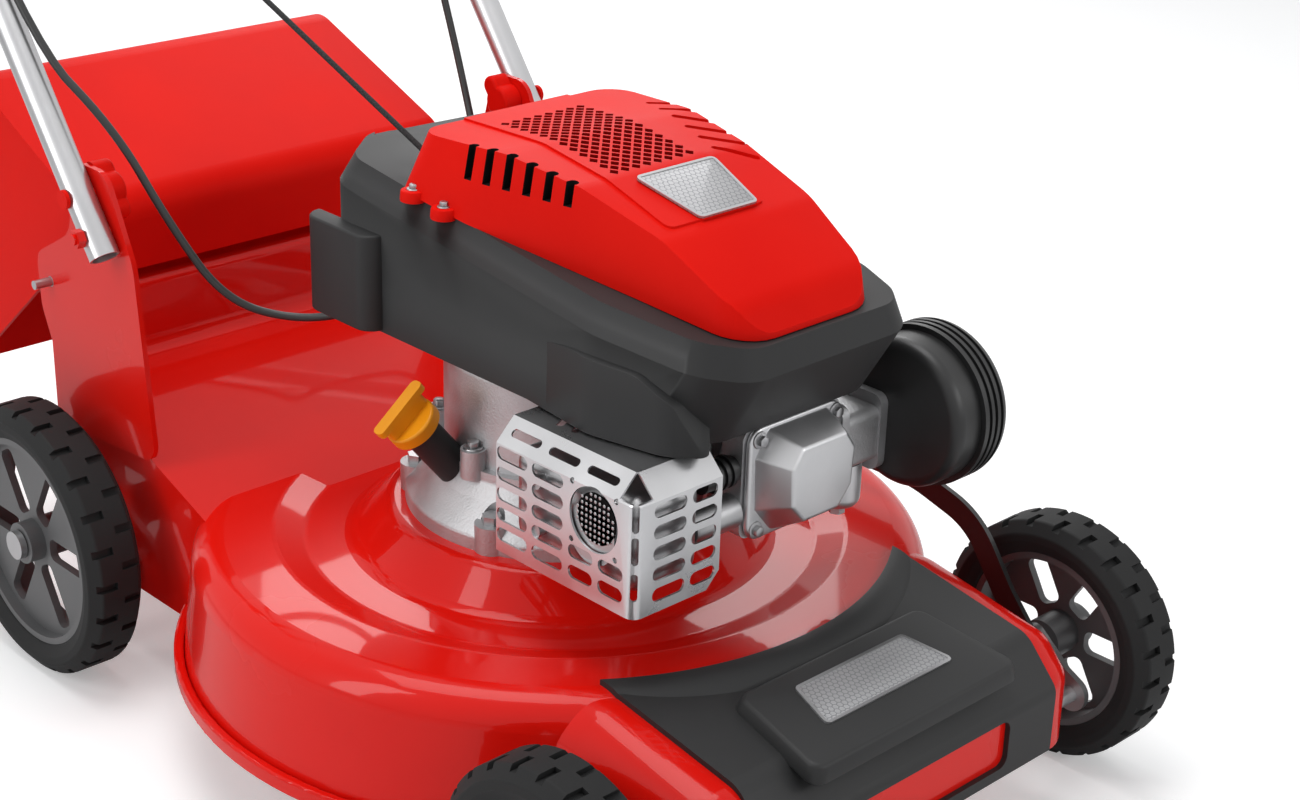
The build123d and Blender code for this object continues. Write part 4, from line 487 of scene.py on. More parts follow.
# %% Give every solid its finish
FINISH_OF = {
    RED_ENAMEL: ["deck_shell", "handle_bracket_left", "handle_bracket_right"],
    RED_MOULDING: ["cowl", "rear_flap"],
    YELLOW_MOULDING: ["oil_dipstick"],
    DARK_MOULDING: ["oil_filler_neck", "blower_housing", "fuel_cap"],
    TRIM_MOULDING: ["nose_trim"],
    BLACK_MOULDING: [
        "spark_plug_boot",
        "starter_pulley",
        "air_filter_base",
        "air_filter_cover",
        "fuel_tank",
        "height_lever_grip",
        "throttle_housing",
        "throttle_lever",
        "starter_grip",
    ],
    CAST_METAL: ["engine_sump", "crankcase", "cylinder", "flywheel", "carburettor"],
    PLAIN_STEEL: [
        "engine_bolts",
        "muffler",
        "crankshaft",
        "blade_adapter",
        "blade",
        "blade_bolt",
        "front_axle",
        "rear_axle",
        "flap_hinge_rod",
        "rope_guide",
    ],
    PRESSED_COVER: ["valve_cover", "float_bowl"],
    BRIGHT_SHEET: ["muffler_guard"],
    PLATE_SILVER: ["nose_badge", "cowl_plate"],
    TUBE_METAL: ["lower_handle_left", "lower_handle_right", "upper_handle"],
    BLACK_STEEL: ["height_bar", "brake_bail"],
    FOAM: ["handle_grip"],
    SHEATH: ["brake_cable", "throttle_cable"],
    ROPE_BRAID: ["starter_rope"],
    TYRE_RUBBER: [],
    RIM_MOULDING: [],
}
for hand in ("left", "right"):
    FINISH_OF[RED_MOULDING] += [f"lower_knob_{hand}", f"upper_knob_{hand}"]
    for end in ("front", "rear"):
        FINISH_OF[TYRE_RUBBER].append(f"tyre_{end}_{hand}")
        FINISH_OF[RIM_MOULDING].append(f"rim_{end}_{hand}")
for material, names in FINISH_OF.items():
    for name in names:
        NODES[name].data.materials.clear()
        NODES[name].data.materials.append(material)
print("finished", sum(len(names) for names in FINISH_OF.values()), "of", len(NODES), "solids")

# %% [markdown]
# ## Tools for modelling
# The covers of the engine are sheet and moulding, so most of them start as a flat outline with rounded
# corners that is pulled into a solid. Slots are small solids of the same kind that are cut out of the
# larger one. All sizes are in millimetres until a shape becomes a piece of the frame.

# %% Outlines and solids
def rounded_face(points, radii):
    shape = bmesh.new()
    corners = [shape.verts.new((x, y, 0)) for x, y in points]
    shape.faces.new(corners)
    for number, (corner, radius) in enumerate(zip(corners, radii)):
        if radius:
            here = Vector(points[number])
            before = Vector(points[number - 1]) - here
            after = Vector(points[(number + 1) % len(points)]) - here
            bmesh.ops.bevel(
                shape,
                geom=[corner],
                offset=radius / math.tan(before.angle(after) / 2),
                affect="VERTICES",
                segments=6,
                profile=0.5,
                material=-1,
            )
    return shape


def pull(shape, vector, shrink=(1, 1), about=(0, 0)):
    grown = bmesh.ops.extrude_face_region(shape, geom=shape.faces[:], use_keep_orig=True)["geom"]
    far = [item for item in grown if isinstance(item, bmesh.types.BMVert)]
    for vert in far:
        vert.co.x = about[0] + (vert.co.x - about[0]) * shrink[0]
        vert.co.y = about[1] + (vert.co.y - about[1]) * shrink[1]
    bmesh.ops.translate(shape, verts=far, vec=vector)
    bmesh.ops.recalc_face_normals(shape, faces=shape.faces)
    return far


def block(points, radii, low, high):
    shape = rounded_face(points, radii)
    bmesh.ops.translate(shape, verts=shape.verts, vec=(0, 0, low))
    pull(shape, (0, 0, high - low))
    return shape


def slot(length, width, low, high, turn=0, spot=(0, 0)):
    x, y = length / 2, width / 2
    shape = block([(-x, -y), (x, -y), (x, y), (-x, y)], [0.49 * width] * 4, low, high)
    shape.transform(Matrix.Translation((*spot, 0)) @ Matrix.Rotation(math.radians(turn), 4, "Z"))
    return shape


def disc(radius, depth, segments, far_radius=None):
    shape = bmesh.new()
    bmesh.ops.create_cone(
        shape,
        cap_ends=True,
        segments=segments,
        radius1=radius,
        radius2=far_radius or radius,
        depth=depth,
    )
    return shape


def gather(shapes):
    whole = bmesh.new()
    for shape in shapes:
        part = bpy.data.meshes.new("part")
        shape.to_mesh(part)
        shape.free()
        whole.from_mesh(part)
        bpy.data.meshes.remove(part)
    return whole


# %% [markdown]
# A shape becomes a piece when it gets its mesh and finish. Modifiers then cut it or round its edges, and
# each result is settled into the mesh with smooth shading between sharp edges.

# %% Pieces and changes to them
def model(name, shape, material, to_frame=TO_FRAME):
    shape.transform(to_frame)
    mesh = bpy.data.meshes.new(name)
    shape.to_mesh(mesh)
    shape.free()
    mesh.materials.append(material)
    made = bpy.data.objects.new(name, mesh)
    scene.collection.objects.link(made)
    return made


def settle(made, sharp=32):
    bpy.context.view_layer.update()
    graph = bpy.context.evaluated_depsgraph_get()
    mesh = bpy.data.meshes.new_from_object(made.evaluated_get(graph))
    made.modifiers.clear()
    made.data = mesh
    mesh.shade_smooth()
    mesh.set_sharp_from_angle(angle=math.radians(sharp))
    return made


def carve(made, tool, operation="DIFFERENCE"):
    change = made.modifiers.new("carve", "BOOLEAN")
    change.operation = operation
    change.solver = "EXACT"
    change.material_mode = "TRANSFER"
    change.object = tool
    settle(made)
    bpy.data.objects.remove(tool)


def soften(made, width, segments=3, angle=40):
    edge = made.modifiers.new("soft_edge", "BEVEL")
    edge.width = width / MM_PER_M
    edge.segments = segments
    edge.limit_method = "ANGLE"
    edge.angle_limit = math.radians(angle)
    settle(made)


def finish_piece(made, body="chassis", *replaced):
    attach(made, body)
    if replaced:
        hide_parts(*replaced)
    print(made.name, len(made.data.polygons), "faces")


# %% Turn a flat outline to the side or to the front
def sideways(x):
    return Matrix(((0, 0, 1, x), (1, 0, 0, 0), (0, 1, 0, 0), (0, 0, 0, 1)))


def frontways(x, y, z):
    return Matrix.Translation((x, y, z)) @ Matrix.Rotation(math.pi / 2, 4, "X")


def endways(x, y, z):
    return Matrix.Translation((x, y, z)) @ Matrix.Rotation(math.pi / 2, 4, "Y")


# %% [markdown]
# ## The muffler guard
# The real guard is one bent sheet of bright steel: a side, a front and a top, with bevels between them,
# rows of slots and a round opening in front of the outlet. A cube that loses three faces gives the bends,
# its edges are bevelled, the sheet gets its thickness, and the slots are cut last.

# %% Bend the guard
GUARD_SIDE_X, GUARD_FRONT_Y, GUARD_LOW, GUARD_HIGH = -133, -214, 210, 302
GUARD_WIDTH, GUARD_LENGTH, GUARD_BEVEL, GUARD_FOLD, GUARD_SHEET = 75, 130, 15, 7, 1.6
guard_size = (GUARD_WIDTH, GUARD_LENGTH, GUARD_HIGH - GUARD_LOW)
guard_mid = (
    GUARD_SIDE_X + GUARD_WIDTH / 2,
    GUARD_FRONT_Y + GUARD_LENGTH / 2,
    (GUARD_LOW + GUARD_HIGH) / 2,
)
guard_shape = bmesh.new()
bmesh.ops.create_cube(guard_shape, size=1)
bmesh.ops.scale(guard_shape, verts=guard_shape.verts, vec=guard_size)
bmesh.ops.translate(guard_shape, verts=guard_shape.verts, vec=guard_mid)
open_sides = [
    face for face in guard_shape.faces if max(face.normal.x, face.normal.y, -face.normal.z) > 0.9
]
bmesh.ops.delete(guard_shape, geom=open_sides, context="FACES")
folds = [edge for edge in guard_shape.edges if len(edge.link_faces) == 2]
top_folds = [edge for edge in folds if all(vert.co.z > GUARD_HIGH - 1 for vert in edge.verts)]
bmesh.ops.bevel(
    guard_shape, geom=top_folds, offset=GUARD_BEVEL, affect="EDGES", segments=1, profile=0.5, material=-1
)
corner_folds = [
    edge
    for edge in guard_shape.edges
    if len(edge.link_faces) == 2 and abs(edge.verts[0].co.z - edge.verts[1].co.z) > 2 * GUARD_BEVEL
]
bmesh.ops.bevel(
    guard_shape, geom=corner_folds, offset=GUARD_FOLD, affect="EDGES", segments=4, profile=0.5, material=-1
)
guard = model("guard_sheet", guard_shape, BRIGHT_SHEET)
sheet = guard.modifiers.new("sheet", "SOLIDIFY")
sheet.thickness = GUARD_SHEET / MM_PER_M
sheet.offset = -1
settle(guard)
print("guard bent", len(guard.data.polygons), "faces")

# %% [markdown]
# Slots stand in rows on the side and the front, three more on the bevel, three upright ones on the corner
# and two slanted ones on the top. Four small holes stand around the round opening.

# %% Lay out its slots
SLOT_ROWS, SLOT_LOW_Z, SLOT_PITCH, SLOT_WIDTH, REACH = 5, 223, 14.5, 9.5, 5
OUTLET_Y, OUTLET_Z, OUTLET_R, HOLE_R, HOLE_OFFSET = -176.5, 266, 22, 2, 20
ROWS_BELOW_OUTLET, FRONT_DROP, FOLD_REACH, BEVEL_REACH = 2, 1, 4, 6
CORNER_SLOT, BEVEL_SLOT, TOP_SLOT = (19, 4.6), (28, 6), (18, 5)
on_side, on_front = sideways(GUARD_SIDE_X), frontways(0, GUARD_FRONT_Y, 0)
guard_cuts = []


def guard_cut(turn, shape):
    shape.transform(turn)
    guard_cuts.append(shape)


for row in range(SLOT_ROWS):
    row_z = SLOT_LOW_Z + SLOT_PITCH * row
    side_slots = [(-99.5, 29.5), (-133.5, 29.5)]
    if row < ROWS_BELOW_OUTLET:
        side_slots += [(-165, 22.5), (-192.5, 22.5)]
    for column_y, length in side_slots:
        guard_cut(on_side, slot(length, SLOT_WIDTH, -REACH, REACH, spot=(column_y, row_z)))
    for column_x, length in ((-103, 28), (-73, 22)):
        front_spot = (column_x, row_z - FRONT_DROP)
        guard_cut(on_front, slot(length, SLOT_WIDTH, -REACH, REACH, spot=front_spot))
half = math.sqrt(0.5)
corner_x, corner_y = GUARD_SIDE_X + 2, GUARD_FRONT_Y + 2
for corner_z in (232, 257, 279):
    on_corner = Matrix(((0, -half, -half), (0, half, -half), (1, 0, 0))).to_4x4()
    on_corner.translation = (corner_x, corner_y, corner_z)
    guard_cut(on_corner, slot(*CORNER_SLOT, -FOLD_REACH, FOLD_REACH))
bevel_x, bevel_z = GUARD_SIDE_X + GUARD_BEVEL / 2, GUARD_HIGH - GUARD_BEVEL / 2
for bevel_y in (-177, -141, -105):
    on_bevel = Matrix.Translation((bevel_x, bevel_y, bevel_z)) @ Matrix.Rotation(-math.pi / 4, 4, "Y")
    guard_cut(on_bevel, slot(*BEVEL_SLOT, -BEVEL_REACH, BEVEL_REACH, turn=90))
for top_y in (-112, -126):
    on_top = Matrix.Translation((-100, top_y, GUARD_HIGH))
    guard_cut(on_top, slot(*TOP_SLOT, -BEVEL_REACH, BEVEL_REACH, turn=25))
guard_cut(endways(GUARD_SIDE_X, OUTLET_Y, OUTLET_Z), disc(OUTLET_R, 2 * REACH, 40))
for across, up in ((-1, 1), (1, 1), (-1, -1), (1, -1)):
    hole_turn = endways(GUARD_SIDE_X, OUTLET_Y + across * HOLE_OFFSET, OUTLET_Z + up * HOLE_OFFSET)
    guard_cut(hole_turn, disc(HOLE_R, 2 * REACH, 12))
print("guard cuts", len(guard_cuts))

# %% Cut the guard
OPEN_CORNER_DROP, ABOVE_GUARD = 14, 340
corner_outline = [(-150, -230), (-117, -230), (-117, -198), (-150, -198)]
open_corner = block(corner_outline, [0] * 4, GUARD_HIGH - OPEN_CORNER_DROP, ABOVE_GUARD)
low_corner = block([(-75, 204), (-50, 204), (-50, 229)], [0] * 3, -REACH, REACH)
low_corner.transform(on_front)
carve(guard, model("open_corners", gather([open_corner, low_corner]), BRIGHT_SHEET))
carve(guard, model("guard_cuts", gather(guard_cuts), BRIGHT_SHEET))
finish_piece(guard, "chassis", "muffler_guard")

# %% [markdown]
# Behind the round opening lies the outlet. On the real mower it is a sheet with small holes. Here it is the
# other way round: separate dots in front of a near-black disc, which is painted shade for the shadowed
# inside behind the holes. The dots are the middles of the cells of a grid, left over when the borders of
# the cells are deleted.

# %% Model the outlet behind the guard
DOTS, FIELD_HALF, FIELD_R, BORDER, DOT_THICKNESS = 9, 18, 17, 0.8, 0.8
LARGEST_BORDER_AREA = 6
DOTS_X, SHADE_DISC_X, SHADE_DISC_R, SHADE_DISC_THICKNESS = -131.2, -130, 17.4, 0.8
screen_shape = bmesh.new()
bmesh.ops.create_grid(screen_shape, x_segments=DOTS, y_segments=DOTS, size=FIELD_HALF)
outside = [face for face in screen_shape.faces if face.calc_center_median().length > FIELD_R]
bmesh.ops.delete(screen_shape, geom=outside, context="FACES")
bmesh.ops.inset_individual(screen_shape, faces=screen_shape.faces[:], thickness=BORDER)
borders = [face for face in screen_shape.faces if face.calc_area() < LARGEST_BORDER_AREA]
bmesh.ops.delete(screen_shape, geom=borders, context="FACES")
bmesh.ops.solidify(screen_shape, geom=screen_shape.faces[:], thickness=DOT_THICKNESS)
screen_turn = TO_FRAME @ endways(DOTS_X, OUTLET_Y, OUTLET_Z)
screen = model("outlet_screen", screen_shape, PLAIN_STEEL, screen_turn)
smooth = screen.modifiers.new("round_dots", "SUBSURF")
smooth.levels = smooth.render_levels = 1
settle(screen)
finish_piece(screen)
# A near-black disc behind the dots: painted shade for the shadowed inside of the outlet.
shade_disc_turn = TO_FRAME @ endways(SHADE_DISC_X, OUTLET_Y, OUTLET_Z)
shade_disc = disc(SHADE_DISC_R, SHADE_DISC_THICKNESS, 40)
finish_piece(model("outlet_painted_shade", shade_disc, PAINTED_SHADE_BLACK, shade_disc_turn))

# %% [markdown]
# ## The blower housing
# The dark shroud has upright sides, a front that leans out upwards, a bevelled shoulder and a tilted flat
# top that carries the red cover. Its outline is drawn on the tilted shoulder, pulled up to the top and
# down to the lower edge, where the front is moved back for the lean. It is open below, so it gets a wall.

# %% Draw and pull the housing
HOUSING_LOW, HOUSING_WALL, HOUSING_EDGE = 305, 3, 7
TOP_Y, TOP_Z, TOP_ANGLE, SHOULDER_DROP = 40, 411, 7.2, 20
LEAN_FROM_Y, LEAN_LENGTH, LEAN = -60, 120, 0.6
SHOULDER_RISE, SHOULDER_SHRINK, SHRINK_ABOUT = (0, -2.5, 19.8), (0.927, 0.963), (4, -45)
TOP_TILT = Matrix.Translation((0, TOP_Y, TOP_Z)) @ Matrix.Rotation(math.radians(TOP_ANGLE), 4, "X")
housing_outline = [
    (-58, -241),
    (92, -241),
    (108, -190),
    (108, 96),
    (70, 140),
    (-62, 152),
    (-100, 124),
    (-100, -140),
    (-84, -214),
]
housing_shape = rounded_face(
    [(x, y - TOP_Y) for x, y in housing_outline], (30, 28, 40, 34, 40, 30, 24, 60, 40)
)
housing_shape.transform(TOP_TILT @ Matrix.Translation((0, 0, -SHOULDER_DROP)))
shoulder = list(housing_shape.verts)
pull(housing_shape, SHOULDER_RISE, SHOULDER_SHRINK, SHRINK_ABOUT)
flat_top = max(housing_shape.faces, key=lambda face: face.calc_center_median().z)
middle_floor = [face for face in housing_shape.faces if all(vert in shoulder for vert in face.verts)]
skirt = bmesh.ops.extrude_face_region(housing_shape, geom=middle_floor)["geom"]
for vert in [item for item in skirt if isinstance(item, bmesh.types.BMVert)]:
    lean = min(max((LEAN_FROM_Y - vert.co.y) / LEAN_LENGTH, 0), 1)
    vert.co.y += LEAN * lean * (vert.co.z - HOUSING_LOW)
    vert.co.z = HOUSING_LOW
print("housing drawn", len(housing_shape.faces), "faces")

# %% Open it below and give it a wall
bottoms = [
    face for face in housing_shape.faces if all(vert.co.z < HOUSING_LOW + 0.1 for vert in face.verts)
]
bmesh.ops.delete(housing_shape, geom=bottoms, context="FACES_ONLY")
bmesh.ops.recalc_face_normals(housing_shape, faces=housing_shape.faces)
bmesh.ops.bevel(
    housing_shape,
    geom=flat_top.edges[:],
    offset=HOUSING_EDGE,
    affect="EDGES",
    segments=4,
    profile=0.5,
    material=-1,
)
housing = model("housing_shroud", housing_shape, DARK_MOULDING)
wall = housing.modifiers.new("wall", "SOLIDIFY")
wall.thickness = HOUSING_WALL / MM_PER_M
wall.offset = -1
settle(housing)
finish_piece(housing, "chassis", "blower_housing")

# %% [markdown]
# A boxy ear stands at the rear corner of the shroud. Above the guard its side flares out under a creased
# line that falls towards the front. The flare is one outline seen from above, cut to another seen from
# the side.

# %% Ear at its rear corner and flare above the guard
EAR_LOW, EAR_HIGH, EAR_EDGE = HOUSING_LOW + 1, 376, 4
FLARE_LOW, FLARE_HIGH, FLARE_EDGE = HOUSING_LOW - 2, 372, 1.5
ear_outline = [(-113, 76), (-97, 76), (-97, 150), (-113, 150)]
ear = model("housing_ear", block(ear_outline, [14, 0, 0, 14], EAR_LOW, EAR_HIGH), DARK_MOULDING)
soften(ear, EAR_EDGE)
finish_piece(ear)
flare_outline = [
    (-84, -34),
    (-93, -34),
    (-105, -138),
    (-92, -196),
    (-72, -216),
    (-62, -204),
    (-86, -130),
]
flare_block = block(flare_outline, [0, 0, 40, 30, 8, 0, 0], FLARE_LOW, FLARE_HIGH)
flare = model("housing_flare", flare_block, DARK_MOULDING)
crease = [
    (-34, FLARE_LOW),
    (-34, 334),
    (-76, 349),
    (-120, 355),
    (-172, 352),
    (-198, 338),
    (-214, FLARE_LOW),
]
crease_shape = block(crease, [0, 0, 10, 60, 20, 10, 0], -20, 80)
crease_shape.transform(sideways(-120))
carve(flare, model("crease", crease_shape, DARK_MOULDING), "INTERSECT")
soften(flare, FLARE_EDGE, 2)
finish_piece(flare)

# %% [markdown]
# ## The red cover
# The cover has tapered walls and a top that falls towards the front in one long curve. A tapered solid is
# cut to the side view of the cover, its upper edges are rounded, and the slots, raised panel and grille
# follow.

# %% Model the cover
COVER_RISE, COVER_TAPER, TAPER_ABOUT = (0, 0, 104), (0.75, 0.84), (0, -122)
COVER_REACH, COVER_EDGE = 160, 11
cover_outline = [
    (-58, -270),
    (66, -270),
    (84, -190),
    (100, -60),
    (100, 26),
    (-98, 26),
    (-94, -46),
    (-70, -190),
]
cover_profile = [
    (100, 300),
    (78, 453),
    (-30, 456),
    (-92, 447),
    (-158, 427),
    (-214, 398),
    (-244, 360),
    (-244, 300),
]


def cover_block(name, lift):
    shape = rounded_face(cover_outline, (30, 34, 90, 60, 24, 20, 60, 60))
    pull(shape, COVER_RISE, COVER_TAPER, TAPER_ABOUT)
    shape.transform(TOP_TILT)
    made = model(name, shape, RED_MOULDING)
    profile = [(y, z + lift) for y, z in cover_profile]
    side = block(profile, (0, 16, 60, 50, 40, 30, 20, 0), -COVER_REACH, COVER_REACH)
    side.transform(sideways(0))
    carve(made, model("side", side, RED_MOULDING), "INTERSECT")
    soften(made, COVER_EDGE, 4, 30)
    return made


cover = cover_block("engine_cover", 0)
print("cover", len(cover.data.polygons), "faces")

# %% [markdown]
# Six slots open the right shoulder and six slanted louvres lie in the left one. The slots are shallow
# pockets with near-black floors, painted shade for the dark inside below them. The raised panel on the top
# is the same cover a little higher, cut to the outline of the panel.

# %% Cut the shoulders and raise the panel
SHOULDER_SLOTS, ABOVE_COVER, PANEL_LOW, PANEL_LIFT = 6, 480, 412, 1.5
SHOULDER_SLOT, SHOULDER_FLOOR = (15, 6.5), 433
LOUVRE, LOUVRE_FLOOR, LOUVRE_TURN = (33, 5), 440.5, -48
shoulder_cuts = []
louvre_cuts = []
for number in range(SHOULDER_SLOTS):
    share = number / (SHOULDER_SLOTS - 1)
    slot_spot = (-86.5 + 13 * share, -2 - 82 * share)
    louvre_spot = (86 - 22 * share, -11 - 86 * share)
    shoulder_cuts.append(slot(*SHOULDER_SLOT, SHOULDER_FLOOR, ABOVE_COVER, spot=slot_spot))
    louvre = slot(*LOUVRE, LOUVRE_FLOOR, ABOVE_COVER, turn=LOUVRE_TURN, spot=louvre_spot)
    louvre_cuts.append(louvre)
# The slot floors take the near-black finish: painted shade for the dark inside under the open slots.
carve(cover, model("shoulder_cuts", gather(shoulder_cuts), PAINTED_SHADE_BLACK))
carve(cover, model("louvre_cuts", gather(louvre_cuts), RED_MOULDING))
raised = cover_block("cover_panel", PANEL_LIFT)
panel_outline = [(-47, 80), (47, 80), (38, -150), (-49, -150)]
panel_block = block(panel_outline, [6] * 4, PANEL_LOW, ABOVE_COVER)
carve(raised, model("panel", panel_block, RED_MOULDING), "INTERSECT")
carve(cover, raised, "UNION")
print("cover with panel", len(cover.data.polygons), "faces")

# %% [markdown]
# The grille is a field of lozenge pockets in staggered rows. Their floors follow the top of the cover,
# which falls away towards the front. The pockets take a darker red, which is painted shade for their
# hollows.

# %% Cut the grille
GRILLE_ROWS, GRILLE_COLUMNS, COLUMN_PITCH, ROW_PITCH, ABOVE_POCKETS = 23, 8, 9.7, 4.85, 470
GRILLE_X, GRILLE_Y = -42, -89
POCKET_FLOOR, POCKET_HALF, FALL_FROM_Y, FALL = 449, 3.7, -30, 0.145
lozenge = [(-POCKET_HALF, 0), (0, -POCKET_HALF), (POCKET_HALF, 0), (0, POCKET_HALF)]
cover_cuts = []
for row in range(GRILLE_ROWS):
    odd = row % 2
    for column in range(GRILLE_COLUMNS - odd):
        x = GRILLE_X + (column + 0.5 + odd / 2) * COLUMN_PITCH
        y = GRILLE_Y + (row + 0.5) * ROW_PITCH
        fall = max(FALL_FROM_Y - y, 0) * FALL
        hole = block(lozenge, [0.5] * 4, POCKET_FLOOR - fall, ABOVE_POCKETS)
        hole.transform(Matrix.Translation((x, y, 0)))
        cover_cuts.append(hole)
# The pockets take the darker red: painted shade in the hollows.
carve(cover, model("cover_cuts", gather(cover_cuts), RED_PAINTED_SHADE))
finish_piece(cover, "chassis", "cowl")

# %% [markdown]
# ## Plates with a hex pattern
# The cover and the nose each carry a bare silver plate with a fine hex pattern and a bright rim. The
# plate is a rounded trapezoid on the slope that carries it, and its rim is the same outline, inset and
# raised.

# %% Model the plate on the cover
RIM_WIDTH, RIM_HEIGHT, RIM_SINK, PLATE_CORNER, PLATE_EDGE = 2.2, 0.7, 0.3, 4, 0.35


def bare_plate(name, outline, slope_turn, thickness, node):
    shape = rounded_face(outline, [PLATE_CORNER] * 4)
    pull(shape, (0, 0, thickness))
    plate = model(name, shape, PLATE_SILVER, TO_FRAME @ slope_turn)
    soften(plate, PLATE_EDGE, 2)
    finish_piece(plate, "chassis", node)
    rim_shape = rounded_face(outline, [PLATE_CORNER] * 4)
    bmesh.ops.inset_region(rim_shape, faces=rim_shape.faces[:], thickness=RIM_WIDTH, use_boundary=True)
    centre = [face for face in rim_shape.faces if len(face.edges) > 4]
    bmesh.ops.delete(rim_shape, geom=centre, context="FACES")
    pull(rim_shape, (0, 0, RIM_HEIGHT))
    bmesh.ops.translate(rim_shape, verts=rim_shape.verts, vec=(0, 0, thickness - RIM_SINK))
    rim = model(f"{name}_rim", rim_shape, PLATE_RIM, TO_FRAME @ slope_turn)
    settle(rim)
    finish_piece(rim)


def slope_at(x, y, z, slope):
    return Matrix.Translation((x, y, z)) @ Matrix.Rotation(math.atan(slope), 4, "X")


bare_plate(
    "cover_plate",
    [(-36, 27), (-26, -27), (26, -27), (36, 27)],
    slope_at(4, -125, 439, 0.31),
    1.4,
    "cowl_plate",
)

# %% [markdown]
# ## The raised panel on the nose
# The middle of the nose trim stands up as a panel with sloping sides. It is a tapered solid on the slope
# of the nose, and it carries the second plate.

# %% Model the panel and its plate
PANEL_HEIGHT, PANEL_SINK, PLATE_SINK = 12.6, 3, 0.2
PANEL_TAPER, PANEL_EDGE = (0.965, 0.92), 2.4
nose_slope = slope_at(0, -296, 147.27, 0.1635)
panel_shape = rounded_face([(-102, -48), (102, -48), (90, 38), (-90, 38)], [10] * 4)
bmesh.ops.translate(panel_shape, verts=panel_shape.verts, vec=(0, 0, -PANEL_SINK))
pull(panel_shape, (0, 0, PANEL_HEIGHT), PANEL_TAPER)
panel = model("trim_panel", panel_shape, TRIM_MOULDING, TO_FRAME @ nose_slope)
soften(panel, PANEL_EDGE, 3)
finish_piece(panel)
bare_plate(
    "badge_plate",
    [(-52, 20), (-62, -18), (62, -18), (52, 20)],
    nose_slope @ Matrix.Translation((0, 0, PANEL_HEIGHT - PANEL_SINK - PLATE_SINK)),
    1.2,
    "nose_badge",
)

# %% [markdown]
# ## The valve cover
# The cover of the valves is pressed with a flat flange and a dome with slanting facets. Its outline has
# cut corners, and pulling it out while it shrinks gives the facets.

# %% Model the valve cover
VALVE_X, VALVE_Y, VALVE_Z, FLANGE = 20, -200, 264, 5
DOME_RISE, DOME_TAPER, DOME_SINK, DOME_EDGE = (0, 3, 26), (0.74, 0.7), 1, 2.2
valve_turn = frontways(VALVE_X, VALVE_Y, VALVE_Z)
flange_shape = rounded_face([(-44, -40), (44, -40), (44, 40), (-44, 40)], [12] * 4)
pull(flange_shape, (0, 0, FLANGE))
dome_outline = [(-22, -37), (22, -37), (38, -18), (40, 20), (28, 38), (-28, 38), (-40, 20), (-38, -18)]
dome_shape = rounded_face(dome_outline, [4] * 8)
bmesh.ops.translate(dome_shape, verts=dome_shape.verts, vec=(0, 0, FLANGE - DOME_SINK))
pull(dome_shape, DOME_RISE, DOME_TAPER)
valve_shape = gather([flange_shape, dome_shape])
valve_cover = model("valve_dome", valve_shape, PRESSED_COVER, TO_FRAME @ valve_turn)
soften(valve_cover, DOME_EDGE, 3, 24)
finish_piece(valve_cover, "chassis", "valve_cover")

# %% [markdown]
# ## Bolts
# Hex heads with a pressed washer hold the valve cover, the two halves of the crankcase, the lugs of the
# red cover and the guard. Each bolt is modelled at the origin and set in its place along its own
# direction.

# %% A set of bolts
def bolts(name, spots, direction, size=4.6):
    turn = Vector(direction).to_track_quat("Z", "Y").to_matrix().to_4x4()
    shapes = []
    for spot in spots:
        shape = bmesh.new()
        washer, head = size * 0.3, size * 0.9
        bmesh.ops.create_cone(
            shape,
            cap_ends=True,
            segments=20,
            radius1=size * 1.55,
            radius2=size * 1.45,
            depth=washer,
            matrix=Matrix.Translation((0, 0, washer / 2)),
        )
        bmesh.ops.create_cone(
            shape,
            cap_ends=True,
            segments=6,
            radius1=size,
            radius2=size * 0.97,
            depth=head,
            matrix=Matrix.Translation((0, 0, washer + head / 2)),
        )
        shape.transform(Matrix.Translation(spot) @ turn)
        shapes.append(shape)
    made = model(name, gather(shapes), PLAIN_STEEL)
    soften(made, 0.4, 2, 50)
    finish_piece(made)


# %% Model the bolts and the lugs of the cover
UP, FORWARD = (0, 0, 1), (0, -1, 0)
CASE_BOLTS, CASE_R, CASE_Z = 7, 88, 242
VALVE_BOLT_X, VALVE_BOLT_Z = 36, 32
LUG_X, LUG_YS, LUG_HEIGHT, LUG_R, LUG_TOP_R, TOP_SLOPE = -95, (14, 46), 8, 9.5, 8.8, 0.1263
valve_corners = [
    (VALVE_X + VALVE_BOLT_X * side, VALVE_Y - FLANGE, VALVE_Z + VALVE_BOLT_Z * up)
    for side in (-1, 1)
    for up in (-1, 1)
]
bolts("valve_bolts", valve_corners, FORWARD, 4)
case_angles = [math.radians(30 + 360 / CASE_BOLTS * number) for number in range(CASE_BOLTS)]
case_spots = [(CASE_R * math.cos(angle), CASE_R * math.sin(angle), CASE_Z) for angle in case_angles]
bolts("case_bolts", case_spots, UP)
lug_spots = [(LUG_X, y, TOP_Z + TOP_SLOPE * (y - TOP_Y)) for y in LUG_YS]
lugs = []
for lug_spot in lug_spots:
    lug = disc(LUG_R, LUG_HEIGHT, 28, LUG_TOP_R)
    lug.transform(Matrix.Translation(lug_spot))
    lugs.append(lug)
cover_lugs = model("cover_lugs", gather(lugs), RED_MOULDING)
soften(cover_lugs, 1.2, 2)
finish_piece(cover_lugs)
bolts("lug_screws", [(x, y, z + LUG_HEIGHT / 2) for x, y, z in lug_spots], UP, 3.2)
bolts("guard_bolts", [(-82, -100, GUARD_HIGH), (-82, -170, GUARD_HIGH)], UP, 3.4)
